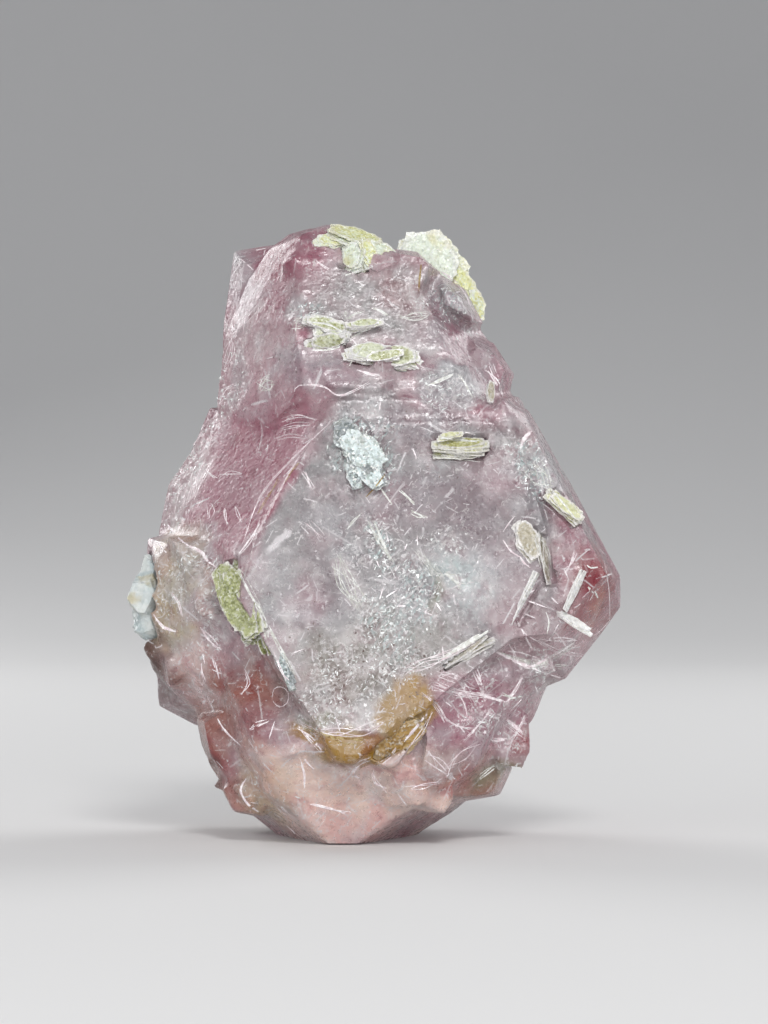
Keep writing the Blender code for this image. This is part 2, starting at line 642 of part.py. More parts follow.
def albite_solids(grow):
    """The albite lumps, grown by `grow`."""
    for i, (centre, radii, count) in enumerate(ALBITE_LUMPS):
        grown = tuple(r + grow for r in radii)
        yield cut_convex(lump_planes(centre, grown, 400 + i, count))


def albite_cluster():
    """The small pale crystals on the left edge, fused into one solid."""
    material = finish_of("albite", ALBITE_WHITE, 0.35)
    solids = list(albite_solids(0.0))
    obj = object_of("albite_crystals", solids[0], material)
    add_boolean(obj, "UNION", helper_collection("albite_lumps", solids[1:], material))
    keep_main_shell(obj)
    return obj


def base_cutter():
    """Everything below the base."""
    return cut_convex([((0, 0, 0), (0, 0, 1))])


def apatite_crystals():
    """The apatite: all its crystals fused, cut flat below, with a pocket for each mica piece."""
    material = finish_of("apatite", APATITE_PINK, 0.25)
    obj = object_of("apatite_crystals", block(CENTRE_CRYSTAL, 1, 8, 0.5), material)
    add_boolean(obj, "UNION", helper_collection("crystal_blocks", apatite_blocks(), material))
    pockets = [base_cutter(), *albite_solids(MICA_GAP)]
    for books in MICA_BOOKS.values():
        pockets += [cut_convex(planes) for planes in mica_sheets(books, MICA_GAP)]
    add_boolean(obj, "DIFFERENCE", helper_collection("pockets", pockets, material))
    keep_main_shell(obj)
    return obj


def main():
    """Builds the specimen."""
    clear_scene()
    apatite_crystals()
    for name, books in MICA_BOOKS.items():
        mica_piece(name, books)
    albite_cluster()


main()
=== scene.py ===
"""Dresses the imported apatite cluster: crystal surfaces, mica books, albite, floor and light.

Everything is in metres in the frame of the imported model, which stands on z = 0 with its
front facing -Y. Places on the specimen are written in millimetres, x to the right and z up.
"""

import json
import logging
import math
import random
from dataclasses import dataclass, field
from enum import Enum

import bmesh
import bpy
import numpy as np
from mathutils import Matrix, Vector
from mathutils.bvhtree import BVHTree
from mathutils.kdtree import KDTree

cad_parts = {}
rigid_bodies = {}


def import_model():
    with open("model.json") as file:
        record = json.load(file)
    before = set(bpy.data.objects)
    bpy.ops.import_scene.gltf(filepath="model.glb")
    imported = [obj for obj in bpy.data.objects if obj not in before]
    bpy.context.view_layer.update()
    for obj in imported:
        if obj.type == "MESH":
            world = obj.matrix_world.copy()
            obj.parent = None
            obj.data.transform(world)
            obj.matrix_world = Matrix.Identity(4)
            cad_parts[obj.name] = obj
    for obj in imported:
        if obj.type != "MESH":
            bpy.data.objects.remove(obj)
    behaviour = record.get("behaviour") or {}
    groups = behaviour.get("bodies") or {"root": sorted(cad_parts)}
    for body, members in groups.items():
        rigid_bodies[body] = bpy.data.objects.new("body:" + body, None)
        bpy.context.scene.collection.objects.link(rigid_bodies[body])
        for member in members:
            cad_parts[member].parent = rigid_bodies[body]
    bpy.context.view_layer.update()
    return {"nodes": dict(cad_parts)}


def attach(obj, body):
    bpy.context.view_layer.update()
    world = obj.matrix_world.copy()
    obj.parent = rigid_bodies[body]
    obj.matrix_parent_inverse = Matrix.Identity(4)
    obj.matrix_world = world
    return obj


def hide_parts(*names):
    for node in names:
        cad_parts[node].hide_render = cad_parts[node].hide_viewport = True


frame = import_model()

LOG = logging.getLogger("apatite")
MM = 0.001
GREY_MIDDLE = (0.5, 0.5, 0.5)
MICA_IOR = 1.58
SPLIT_ANGLE = math.radians(24)
ROOT = "root"
FRAME_MIDDLE = (384, 512)
FRAME_PER_METRE = 12730
FRAME_PER_MM = 12.73


def linear(red: float, green: float, blue: float) -> tuple[float, float, float]:
    """Turns a display colour into a linear one.

    Args:
        red: Red, from 0 to 255.
        green: Green, from 0 to 255.
        blue: Blue, from 0 to 255.

    Returns:
        The same colour in linear light, from 0 to 1.
    """
    return tuple((channel / 255) ** 2.2 for channel in (red, green, blue))


class Mineral(Enum):
    """Colours that occur in the specimen."""

    PALE_PINK = linear(198, 170, 175)
    ROSE = linear(176, 124, 138)
    DEEP_ROSE = linear(154, 86, 104)
    BERRY = linear(136, 68, 88)
    RUSSET = linear(156, 88, 72)
    RED = linear(156, 74, 78)
    MAROON = linear(144, 100, 104)
    MAUVE = linear(164, 145, 153)
    SMOKE = linear(132, 131, 132)
    DUSK = linear(116, 98, 106)
    GREY = linear(155, 157, 155)
    CLEAR = linear(184, 188, 190)
    WHITE = linear(236, 232, 230)
    CREAM = linear(204, 186, 148)
    # a pale salmon made lighter still: partly the bottom's own colour, partly painted light on the
    # downward-facing bottom
    SALMON = linear(248, 218, 204)
    # a dark brown that is partly stain and partly painted shade, for the left rim where it turns away from the
    # light
    BROWN = linear(92, 66, 54)
    OCHRE = linear(168, 126, 24)
    ASH = linear(142, 138, 127)
    OLIVE = linear(122, 118, 78)
    ORANGE = linear(190, 104, 70)
    SILVER = linear(206, 230, 228)


class Mark(Enum):
    """Fine patterns that the crystal's finish draws where they are painted."""

    FROST = 0
    SILVER = 1
    NEEDLES = 2
    SPECKS = 3


def smooth(edge0: float, edge1: float, value: np.ndarray) -> np.ndarray:
    """A smooth step from 0 at edge0 to 1 at edge1."""
    share = np.clip((value - edge0) / (edge1 - edge0), 0.0, 1.0)
    return share * share * (3 - 2 * share)


class Grain:
    """Repeatable noise on arrays of points."""

    @staticmethod
    def hash01(cell: np.ndarray, seed: int) -> np.ndarray:
        """Random numbers for whole-number cells.

        Args:
            cell: Cell indices, shape (n, 3).
            seed: Which random field to read.

        Returns:
            One number from 0 to 1 for each cell.
        """
        mixed = cell[:, 0] * 374761393 + cell[:, 1] * 668265263 + cell[:, 2] * 2147483647 + seed * 974634777
        mixed = (mixed ^ (mixed >> 13)) * 1274126177
        mixed = mixed ^ (mixed >> 16)
        return (mixed & 0xFFFFFF) / float(0xFFFFFF)

    @classmethod
    def value(cls, points: np.ndarray, size: float, seed: int) -> np.ndarray:
        """Smooth noise.

        Args:
            points: Places in millimetres, shape (n, 3).
            size: How wide one bump is, in millimetres.
            seed: Which random field to read.

        Returns:
            Noise from -1 to 1.
        """
        place = points / size
        cell = np.floor(place).astype(np.int64)
        share = place - cell
        share = share * share * (3 - 2 * share)
        total = np.zeros(len(points))
        for corner in range(8):
            step = np.array([corner & 1, corner >> 1 & 1, corner >> 2 & 1])
            weight = np.prod(np.where(step, share, 1 - share), axis=1)
            total += weight * cls.hash01(cell + step, seed)
        return total * 2 - 1

    @classmethod
    def layered(cls, points: np.ndarray, size: float, seed: int, octaves: int = 4) -> np.ndarray:
        """Noise with finer noise on it, each layer half the size and half the height.

        Args:
            points: Places in millimetres, shape (n, 3).
            size: How wide the widest bump is, in millimetres.
            seed: Which random field to read.
            octaves: How many layers.

        Returns:
            Noise, about -1 to 1.
        """
        total = np.zeros(len(points))
        for octave in range(octaves):
            total += cls.value(points, size / 2**octave, seed + octave) / 2**octave
        return total

    @classmethod
    def ridged(cls, points: np.ndarray, size: float, seed: int, octaves: int = 4) -> np.ndarray:
        """Noise with thin bright ridges, about 0 to 1.

        Args:
            points: Places in millimetres, shape (n, 3).
            size: How wide the widest bump is, in millimetres.
            seed: Which random field to read.
            octaves: How many layers.

        Returns:
            One number for each point.
        """
        total = np.zeros(len(points))
        for octave in range(octaves):
            total += (1 - np.abs(cls.value(points, size / 2**octave, seed + octave))) ** 2 / 2**octave
        return total / (2 - 2 / 2**octaves)

    @classmethod
    def chips(cls, points: np.ndarray, size: float, seed: int) -> tuple[np.ndarray, np.ndarray]:
        """Flat facets with random tilts, as on a broken surface.

        Args:
            points: Places in millimetres, shape (n, 3).
            size: How wide a facet is, in millimetres.
            seed: Which random field to read.

        Returns:
            The height of each point's facet, about -1 to 1, and a random number per facet.
        """
        place = points / size
        home = np.floor(place).astype(np.int64)
        best = np.full(len(points), np.inf)
        height = np.zeros(len(points))
        mark = np.zeros(len(points))
        for dx in (-1, 0, 1):
            for dy in (-1, 0, 1):
                for dz in (-1, 0, 1):
                    cell = home + np.array([dx, dy, dz])
                    jitter = np.stack([cls.hash01(cell, seed + k) for k in range(3)], axis=1)
                    away = place - (cell + jitter)
                    distance = np.sum(away * away, axis=1)
                    lean = np.stack([cls.hash01(cell, seed + 3 + k) for k in range(3)], axis=1) * 2 - 1
                    nearer = distance < best
                    best = np.where(nearer, distance, best)
                    height = np.where(nearer, np.sum(away * lean, axis=1), height)
                    mark = np.where(nearer, cls.hash01(cell, seed + 9), mark)
        return height, mark


@dataclass(frozen=True)
class Zone:
    """A soft patch on the specimen, in millimetres.

    Its middle is (x, z) seen from the front, its half sizes are along x and z before the
    patch is turned, and depth and reach bound it from front to back.
    """

    what: Mineral | Mark
    middle: tuple[float, float]
    half: tuple[float, float]
    strength: float = 1.0
    turn: float = 0.0
    depth: float = -11.0
    reach: float = 7.0
    soft: float = 0.45
    ragged: float = 0.35

    def mask(self, points: np.ndarray, seed: int) -> np.ndarray:
        """How strongly the patch covers each point.

        Args:
            points: Places in millimetres, shape (n, 3).
            seed: Seeds the patch's ragged edge.

        Returns:
            Cover from 0 to strength.
        """
        angle = math.radians(self.turn)
        x = points[:, 0] - self.middle[0]
        z = points[:, 2] - self.middle[1]
        along = (x * math.cos(angle) + z * math.sin(angle)) / self.half[0]
        across = (-x * math.sin(angle) + z * math.cos(angle)) / self.half[1]
        inward = (points[:, 1] - self.depth) / self.reach
        distance = np.sqrt(along**2 + across**2 + inward**2)
        near = distance < 1 + self.soft + 2 * self.ragged
        wobble = Grain.layered(points[near], max(0.5, min(self.half) * 0.8), seed) * self.ragged
        cover = np.zeros(len(points))
        cover[near] = self.strength * smooth(1 + self.soft, 1 - self.soft, distance[near] + wobble)
        return cover


TINTS = (
    # the upper crystal
    Zone(Mineral.CLEAR, (-10.9, 44.4), (1.4, 2.2), 0.6, 0, -2, 9),
    Zone(Mineral.DEEP_ROSE, (-6.6, 45.6), (2.2, 2.2), 0.85, -30, -4, 8),
    Zone(Mineral.DEEP_ROSE, (-8.4, 42.2), (1.7, 3.6), 0.75, -8, -5, 8),
    Zone(Mineral.BERRY, (-8.6, 43.4), (0.8, 1.9), 0.5, -8, -5, 8),
    Zone(Mineral.ROSE, (-9.9, 39.4), (1.7, 3.4), 0.4, 0, -4, 8),
    Zone(Mineral.PALE_PINK, (-9.2, 37.6), (2.4, 3.6), 0.95, 0, -6, 8),
    Zone(Mineral.GREY, (-0.8, 41.6), (4.8, 3.2), 0.85, 0, -7, 6),
    Zone(Mineral.MAROON, (2.4, 42.8), (1.9, 1.7), 0.75, 0, -6, 5),
    Zone(Mineral.MAUVE, (7.0, 38.1), (3.6, 3.4), 0.65, 0, -6, 6),
    Zone(Mineral.ROSE, (9.9, 36.2), (1.0, 2.2), 0.7, 0, -2, 7),
    Zone(Mineral.CLEAR, (6.4, 42.6), (1.8, 2.0), 0.6, 30, -4, 6),
    Zone(Mineral.MAUVE, (-3.4, 36.0), (5.2, 1.5), 0.75, -4, -9, 5),
    Zone(Mineral.CLEAR, (5.8, 34.9), (2.2, 1.7), 0.8, 10, -9, 4),
    # the left shoulder; its tints lean to the lighter rose, partly as painted sheen standing in for the
    # back-left light's reflection on these left-facing facets
    Zone(Mineral.ROSE, (-9.7, 28.7), (5.6, 5.6), 1.0, 30, -6, 9),
    Zone(Mineral.DEEP_ROSE, (-9.0, 29.6), (4.2, 3.8), 0.65, 40, -7, 7),
    Zone(Mineral.BERRY, (-8.0, 30.6), (2.2, 1.9), 0.3, 40, -7, 7),
    Zone(Mineral.BERRY, (-10.4, 27.4), (1.9, 1.3), 0.4, 20, -7, 7),
    Zone(Mineral.DEEP_ROSE, (-10.9, 25.4), (2.2, 1.6), 0.6, 0, -6, 7),
    Zone(Mineral.DEEP_ROSE, (-4.8, 33.2), (3.2, 1.2), 0.35, 8, -9, 5),
    Zone(Mineral.PALE_PINK, (-14.8, 27.4), (1.5, 4.8), 0.9, -22, -3, 8),
    Zone(Mineral.WHITE, (-14.9, 26.4), (1.1, 4.2), 0.35, -22, -3, 8),
    Zone(Mineral.CREAM, (-14.6, 23.2), (1.6, 1.4), 0.5, 0, -5, 8),
    # the flat end of the centre crystal
    Zone(Mineral.SMOKE, (2.1, 21.6), (11.4, 11.6), 0.92, 0, -12, 4, 0.2),
    Zone(Mineral.SMOKE, (-0.2, 33.0), (3.6, 2.4), 0.85, 10, -10, 5),
    Zone(Mineral.DUSK, (3.0, 32.2), (3.0, 1.7), 0.85, 0, -10, 5),
    Zone(Mineral.DUSK, (2.6, 26.4), (3.0, 2.8), 0.85, 0, -12, 4),
    Zone(Mineral.DUSK, (7.6, 26.6), (4.2, 3.2), 0.95, 0, -12, 4),
    Zone(Mineral.DUSK, (-4.0, 18.2), (2.4, 3.4), 0.6, 0, -12, 4),
    Zone(Mineral.SMOKE, (-4.9, 26.8), (6.2, 1.6), 0.95, 54, -12, 4, 0.2, 0.12),
    Zone(Mineral.DUSK, (-3.4, 24.8), (2.6, 3.4), 0.4, -20, -12, 4),
    Zone(Mineral.MAUVE, (9.4, 21.6), (3.4, 2.4), 0.5, 0, -12, 4),
    Zone(Mineral.CLEAR, (3.4, 17.8), (3.4, 3.4), 0.6, 40, -12, 4),
    Zone(Mineral.CLEAR, (7.6, 20.4), (3.6, 2.6), 0.55, -30, -12, 4),
    Zone(Mineral.ASH, (0.2, 13.0), (6.4, 4.4), 0.85, 0, -12, 4),
    Zone(Mineral.WHITE, (-0.9, 10.2), (4.4, 0.9), 0.75, 4, -12, 4),
    Zone(Mineral.PALE_PINK, (11.3, 17.4), (2.6, 3.2), 0.6, -20, -11, 5),
    Zone(Mineral.SILVER, (6.4, 20.2), (2.6, 1.6), 0.4, -35, -12, 4),
    Zone(Mineral.WHITE, (-1.4, 19.6), (0.8, 3.2), 0.4, 38, -12, 4),
    Zone(Mineral.ROSE, (-5.4, 18.4), (1.2, 1.4), 0.4, 0, -12, 4),
    Zone(Mineral.ROSE, (0.6, 26.0), (1.6, 1.6), 0.3, 0, -12, 4),
    Zone(Mineral.ROSE, (9.4, 28.4), (3.0, 1.4), 0.4, -20, -12, 4),
    Zone(Mineral.SILVER, (13.6, 28.6), (1.6, 2.4), 0.5, 25, -10, 5),
    # the right facets
    Zone(Mineral.DEEP_ROSE, (15.6, 23.0), (1.9, 3.2), 0.75, 25, -9, 7),
    Zone(Mineral.RED, (16.9, 19.0), (2.4, 3.8), 0.95, 0, -8, 8),
    Zone(Mineral.ORANGE, (17.3, 18.5), (0.7, 1.2), 0.7, 20, -10, 5),
    Zone(Mineral.ORANGE, (16.6, 16.7), (0.6, 0.6), 0.7, 0, -10, 5),
    Zone(Mineral.GREY, (15.6, 27.4), (0.9, 5.2), 0.7, 28, -8, 7),
    # the left bulge and the bottom
    Zone(Mineral.CREAM, (-15.0, 18.4), (3.2, 3.9), 0.95, 0, -4, 9),
    Zone(Mineral.CLEAR, (-14.6, 19.6), (1.6, 1.6), 0.5, 0, -6, 8),
    Zone(Mineral.PALE_PINK, (-12.6, 17.4), (2.0, 1.4), 0.7, -20, -8, 7),
    Zone(Mineral.SALMON, (-13.4, 13.2), (2.6, 2.2), 0.5, 0, -6, 8),
    # the far left rim: dark brown, partly stain and partly painted shade where the rim turns away from the light
    Zone(Mineral.BROWN, (-17.2, 12.8), (1.7, 3.4), 0.95, 0, -3, 10, 0.7),
    Zone(Mineral.RUSSET, (-9.8, 11.0), (3.0, 3.2), 1.0, -30, -8, 8),
    Zone(Mineral.DEEP_ROSE, (-8.6, 9.8), (2.0, 2.0), 0.5, -30, -8, 8),
    # the bottom: pale salmon, partly its own colour and partly painted light on this downward-facing underside
    Zone(Mineral.SALMON, (-1.6, 4.2), (9.0, 4.2), 1.0, 0, -8, 9),
    Zone(Mineral.CREAM, (-7.8, 4.0), (2.6, 2.6), 0.75, 0, -7, 8),
    # the lower left rim: russet and dark brown, partly stain and partly painted shade where the rim turns away
    # from the light
    Zone(Mineral.RUSSET, (-12.6, 7.0), (1.7, 5.0), 0.9, 24, -3, 10, 0.6),
    Zone(Mineral.BROWN, (-13.4, 6.4), (1.0, 4.0), 0.7, 24, -3, 10, 0.6),
    Zone(Mineral.ROSE, (6.4, 10.4), (4.6, 3.8), 0.9, 30, -10, 7),
    Zone(Mineral.SALMON, (5.6, 4.2), (3.4, 2.4), 0.6, 0, -7, 8),
    Zone(Mineral.RUSSET, (6.6, 5.4), (2.8, 2.0), 0.7, 0, -8, 8),
    Zone(Mineral.OLIVE, (9.2, 5.0), (1.9, 1.0), 0.8, 25, -6, 6),
    Zone(Mineral.RUSSET, (9.6, 3.6), (1.8, 1.2), 0.6, 0, -5, 7),
    Zone(Mineral.RED, (11.6, 8.0), (1.0, 2.0), 0.7, -25, -6, 7),
    # the stain along the flat end's lower rim
    Zone(Mineral.OCHRE, (2.2, 10.2), (1.7, 3.2), 1.0, -36, -12, 6, 0.2, 0.25),
    Zone(Mineral.OCHRE, (-1.2, 7.8), (3.8, 1.2), 1.0, 8, -12, 6, 0.2, 0.25),
    Zone(Mineral.OCHRE, (-4.6, 8.9), (1.8, 0.5), 0.8, -22, -12, 5, 0.25),
    Zone(Mineral.OLIVE, (-3.6, 9.8), (1.7, 0.45), 1.0, -8, -12, 4, 0.6, 0.2),
    Zone(Mineral.OLIVE, (4.5, 19.1), (0.45, 1.5), 0.7, 4, -12, 4, 0.6, 0.2),
    # the back, guessed from the front
    Zone(Mineral.ROSE, (6.0, 27.0), (6.0, 5.0), 0.7, 0, 10, 8),
    Zone(Mineral.DEEP_ROSE, (-8.0, 31.0), (4.0, 5.0), 0.6, 0, 8, 8),
    Zone(Mineral.GREY, (-3.0, 20.0), (8.0, 8.0), 0.7, 0, 12, 6),
    Zone(Mineral.CREAM, (-4.0, 5.0), (9.0, 4.6), 0.8, 0, 8, 8),
    Zone(Mineral.MAUVE, (3.0, 39.0), (4.4, 4.4), 0.6, 0, 8, 8),
)

MARKS = (
    Zone(Mark.FROST, (-14.8, 18.2), (3.8, 4.6), 0.9, 0, -4, 10),
    Zone(Mark.FROST, (-14.8, 27.6), (1.3, 5.2), 0.8, -22, -3, 9),
    Zone(Mark.FROST, (-11.4, 36.2), (1.4, 3.2), 0.8, 0, -3, 9),
    Zone(Mark.FROST, (-5.0, 40.8), (1.5, 1.1), 1.0, 0, -7, 5),
    Zone(Mark.FROST, (-2.2, 46.9), (3.6, 1.2), 0.8, 0, -4, 8),
    Zone(Mark.FROST, (5.2, 41.0), (3.6, 2.0), 0.65, -20, -6, 6),
    Zone(Mark.FROST, (5.8, 34.9), (2.2, 1.7), 1.0, 0, -9, 5),
    Zone(Mark.FROST, (1.4, 20.4), (5.4, 4.6), 0.75, 30, -12, 4),
    Zone(Mark.FROST, (-0.6, 12.6), (5.8, 3.4), 0.95, 0, -12, 4),
    Zone(Mark.FROST, (9.9, 11.2), (4.6, 4.2), 0.9, 20, -9, 8),
    Zone(Mark.FROST, (11.9, 28.6), (1.5, 2.6), 0.9, 25, -11, 5),
    Zone(Mark.FROST, (0.4, 24.4), (1.6, 2.4), 0.9, 10, -12, 4),
    Zone(Mark.FROST, (-8.8, 10.6), (2.0, 5.0), 0.45, -30, -9, 7),
    Zone(Mark.FROST, (10.6, 6.2), (2.0, 2.0), 0.7, 0, -6, 7),
    Zone(Mark.FROST, (-3.0, 4.2), (7.0, 3.2), 0.5, 0, -8, 8),
    Zone(Mark.FROST, (-0.9, 10.0), (4.6, 0.9), 1.0, 4, -12, 4),
    Zone(Mark.SILVER, (-0.8, 30.0), (2.1, 3.3), 1.0, 24, -11, 4),
    Zone(Mark.SILVER, (0.5, 22.8), (0.8, 2.0), 1.0, 22, -12, 4),
    Zone(Mark.SILVER, (3.5, 19.2), (1.2, 2.4), 0.9, 24, -12, 4),
    Zone(Mark.SILVER, (1.2, 16.4), (1.8, 2.8), 0.7, 30, -12, 4),
    Zone(Mark.SILVER, (12.1, 28.5), (1.1, 2.2), 0.9, 24, -11, 5),
    Zone(Mark.SILVER, (-5.0, 40.7), (1.1, 0.8), 0.8, 0, -8, 5),
    Zone(Mark.SILVER, (5.6, 41.6), (1.0, 1.6), 0.7, 30, -6, 6),
    Zone(Mark.NEEDLES, (9.6, 11.6), (6.0, 4.6), 1.0, 20, -10, 7),
    Zone(Mark.NEEDLES, (14.6, 18.4), (4.2, 4.4), 0.8, 0, -10, 7),
    Zone(Mark.NEEDLES, (-9.6, 29.6), (5.0, 4.4), 0.45, 0, -7, 8),
    Zone(Mark.NEEDLES, (-11.3, 12.4), (3.4, 3.4), 0.7, 0, -7, 8),
    Zone(Mark.NEEDLES, (2.6, 6.6), (5.4, 2.6), 0.7, 0, -10, 7),
    Zone(Mark.NEEDLES, (-3.0, 4.0), (7.5, 3.2), 0.6, 0, -8, 9),
    Zone(Mark.NEEDLES, (1.8, 22.0), (7.0, 5.6), 0.5, 0, -12, 4),
    Zone(Mark.SPECKS, (2.6, 32.4), (2.0, 0.9), 1.0, 0, -10, 5),
    Zone(Mark.SPECKS, (4.9, 4.8), (1.2, 0.8), 1.0, 0, -9, 6),
    Zone(Mark.SPECKS, (1.4, 13.4), (4.6, 3.0), 0.6, 30, -12, 4),
    Zone(Mark.SPECKS, (-5.0, 17.6), (2.4, 3.0), 0.2, 0, -12, 4),
    Zone(Mark.SPECKS, (0.0, 30.0), (6.0, 3.0), 0.12, 0, -12, 5),
    Zone(Mark.SPECKS, (-4.0, 37.6), (4.0, 2.4), 0.35, 0, -8, 5),
)

CALM = (
    Zone(Mark.SPECKS, (-9.4, 28.8), (4.8, 4.6), 0.95, 35, -7, 8),
    Zone(Mark.SPECKS, (-4.8, 33.2), (3.4, 1.4), 0.8, 8, -9, 6),
    Zone(Mark.SPECKS, (-7.0, 25.4), (1.5, 4.4), 0.8, -36, -12, 5),
    Zone(Mark.SPECKS, (2.6, 26.4), (2.2, 2.0), 0.5, 0, -12, 4),
    Zone(Mark.SPECKS, (7.4, 27.0), (3.2, 2.2), 0.5, 0, -12, 4),
    Zone(Mark.SPECKS, (16.8, 19.4), (2.4, 3.6), 0.8, 0, -8, 9),
    Zone(Mark.SPECKS, (-7.0, 45.0), (2.4, 2.4), 0.8, 0, -4, 9),
    Zone(Mark.SPECKS, (-9.6, 10.8), (2.8, 3.2), 0.8, -30, -8, 9),
    Zone(Mark.SPECKS, (-17.0, 13.4), (2.4, 3.6), 0.95, 0, -3, 12),
    Zone(Mark.SPECKS, (-12.6, 7.0), (2.0, 5.0), 0.95, 24, -3, 12),
    Zone(Mark.SPECKS, (-1.4, 4.0), (9.0, 4.0), 0.25, 0, -8, 10),
    Zone(Mark.SPECKS, (2.0, 10.2), (2.0, 3.0), 0.9, -36, -12, 6),
    Zone(Mark.SPECKS, (-1.4, 8.0), (3.6, 1.1), 0.9, 6, -12, 6),
    Zone(Mark.SPECKS, (10.0, 4.6), (2.6, 2.2), 0.8, 0, -6, 8),
    Zone(Mark.SPECKS, (5.4, 11.4), (2.6, 2.6), 0.5, 30, -11, 6),
)

WORN = (
    Zone(Mark.FROST, (-2.0, 3.0), (14.0, 6.4), 0.9, 0, -4, 16, 0.2, 0.15),
    Zone(Mark.FROST, (-15.4, 16.0), (4.4, 6.4), 0.9, 0, -4, 14, 0.2, 0.15),
    Zone(Mark.FROST, (10.4, 9.4), (5.0, 4.6), 0.7, 20, -8, 9, 0.2, 0.2),
    Zone(Mark.FROST, (5.4, 41.4), (4.0, 3.0), 0.5, 0, -5, 8, 0.2, 0.2),
    Zone(Mark.FROST, (-7.4, 44.4), (2.4, 3.0), 0.95, 0, -4, 8, 0.2, 0.1),
    Zone(Mark.FROST, (5.4, 34.8), (2.6, 2.0), 0.6, 0, -9, 4, 0.2, 0.2),
    Zone(Mark.FROST, (-3.0, 36.0), (5.0, 1.6), 0.5, 0, -9, 4, 0.2, 0.2),
    Zone(Mark.FROST, (2.4, 33.6), (8.4, 2.0), 1.0, 0, -9.5, 4, 0.2, 0.1),
)


class Wiring:
    """Adds nodes to a tree and joins them."""

    def __init__(self, tree: bpy.types.NodeTree) -> None:
        """Keeps the tree that nodes go into."""
        self.tree = tree

    def add(self, kind: str, inputs: dict | None = None, **settings: object) -> bpy.types.Node:
        """Adds one node.

        Args:
            kind: The node's type name.
            inputs: Socket name or number to a plain value or to a socket to join.
            settings: Properties of the node.

        Returns:
            The new node.
        """
        node = self.tree.nodes.new(kind)
        for name, value in settings.items():
            setattr(node, name, value)
        for name, value in (inputs or {}).items():
            if isinstance(value, bpy.types.NodeSocket):
                self.tree.links.new(value, node.inputs[name])
            else:
                node.inputs[name].default_value = value
        return node

    def math(self, operation: str, *values: object, clamp: bool = False) -> bpy.types.NodeSocket:
        """One sum of numbers or sockets."""
        node = self.add("ShaderNodeMath", dict(enumerate(values)), operation=operation, use_clamp=clamp)
        return node.outputs[0]

    def times(self, first: object, second: object) -> bpy.types.NodeSocket:
        """Two numbers or sockets multiplied."""
        return self.math("MULTIPLY", first, second)

    def vector(self, operation: str, *values: object) -> bpy.types.NodeSocket:
        """One sum of vectors, with a vector as its result."""
        node = self.add("ShaderNodeVectorMath", dict(enumerate(values)), operation=operation)
        return node.outputs[0]

    def measure(self, operation: str, *values: object) -> bpy.types.NodeSocket:
        """One sum of vectors, with a number as its result."""
        node = self.add("ShaderNodeVectorMath", dict(enumerate(values)), operation=operation)
        return node.outputs["Value"]

    def xyz(self, x: object = 0.0, y: object = 0.0, z: object = 0.0) -> bpy.types.NodeSocket:
        """A vector made of three numbers or sockets."""
        return self.add("ShaderNodeCombineXYZ", {"X": x, "Y": y, "Z": z}).outputs[0]

    def split(self, colour: bpy.types.NodeSocket) -> bpy.types.Node:
        """A colour's red, green and blue."""
        return self.add("ShaderNodeSeparateColor", {0: colour})

    def random(self, seed: object, low: object, high: object) -> bpy.types.NodeSocket:
        """A random vector between two vectors for each point or instance."""
        inputs = {"Seed": seed, 0: low, 1: high}
        return self.add("FunctionNodeRandomValue", inputs, data_type="FLOAT_VECTOR").outputs[0]

    def stored(self, geometry: object, name: str, value: object, domain: str) -> bpy.types.NodeSocket:
        """Geometry with one number stored on each part of a domain.

        Args:
            geometry: The geometry.
            name: The attribute's name.
            value: The number or socket to store.
            domain: POINT, FACE or INSTANCE.

        Returns:
            The same geometry with the attribute.
        """
        inputs = {"Geometry": geometry, "Name": name, "Value": value}
        settings = {"domain": domain, "data_type": "FLOAT"}
        return self.add("GeometryNodeStoreNamedAttribute", inputs, **settings).outputs[0]

    def closed(self, sheets: bpy.types.NodeSocket, top: bpy.types.NodeSocket,
               join: float) -> bpy.types.NodeSocket:
        """Thickened sheets with their undersides put back.

        Args:
            sheets: The flat sheets.
            top: The extruded sheets.
            join: Points nearer than this are merged, in metres.

        Returns:
            Closed solids.
        """
        under = self.add("GeometryNodeFlipFaces", {"Mesh": sheets})
        both = self.add("GeometryNodeJoinGeometry")
        self.tree.links.new(top, both.inputs[0])
        self.tree.links.new(under.outputs[0], both.inputs[0])
        inputs = {"Geometry": both.outputs[0], "Distance": join}
        return self.add("GeometryNodeMergeByDistance", inputs).outputs[0]

    def scaled(self, vector: object, factor: object) -> bpy.types.NodeSocket:
        """A vector times a number."""
        return self.add("ShaderNodeVectorMath", {0: vector, "Scale": factor}, operation="SCALE").outputs[0]

    def ramp(self, value: object, start: float, stop: float, low: float = 0.0,
             high: float = 1.0) -> bpy.types.NodeSocket:
        """A value smoothly mapped from start..stop to low..high."""
        inputs = {"Value": value, "From Min": start, "From Max": stop, "To Min": low, "To Max": high}
        return self.add("ShaderNodeMapRange", inputs, interpolation_type="SMOOTHSTEP").outputs["Result"]

    def blend(self, share: object, first: object, second: object) -> bpy.types.NodeSocket:
        """Two colours mixed by a share from 0 to 1.

        Args:
            share: How much of the second colour shows.
            first: A colour or a socket.
            second: A colour or a socket.

        Returns:
            The mixed colour.
        """
        node = self.add("ShaderNodeMix", data_type="RGBA")
        for socket, value in ((node.inputs[0], share), (node.inputs[6], first), (node.inputs[7], second)):
            if isinstance(value, bpy.types.NodeSocket):
                self.tree.links.new(value, socket)
            else:
                socket.default_value = value if isinstance(value, float) else (*value, 1.0)
        return node.outputs[2]

    def noise(self, place: object, scale: float, detail: float = 4.0, **settings: object) -> bpy.types.Node:
        """Noise at a scale, where 1 means bumps about a millimetre wide on millimetre places."""
        inputs = {"Vector": place, "Scale": scale, "Detail": detail}
        return self.add("ShaderNodeTexNoise", inputs, **settings)

    def cells(self, place: object, scale: float, feature: str = "F1") -> bpy.types.Node:
        """Voronoi cells."""
        return self.add("ShaderNodeTexVoronoi", {"Vector": place, "Scale": scale}, feature=feature)


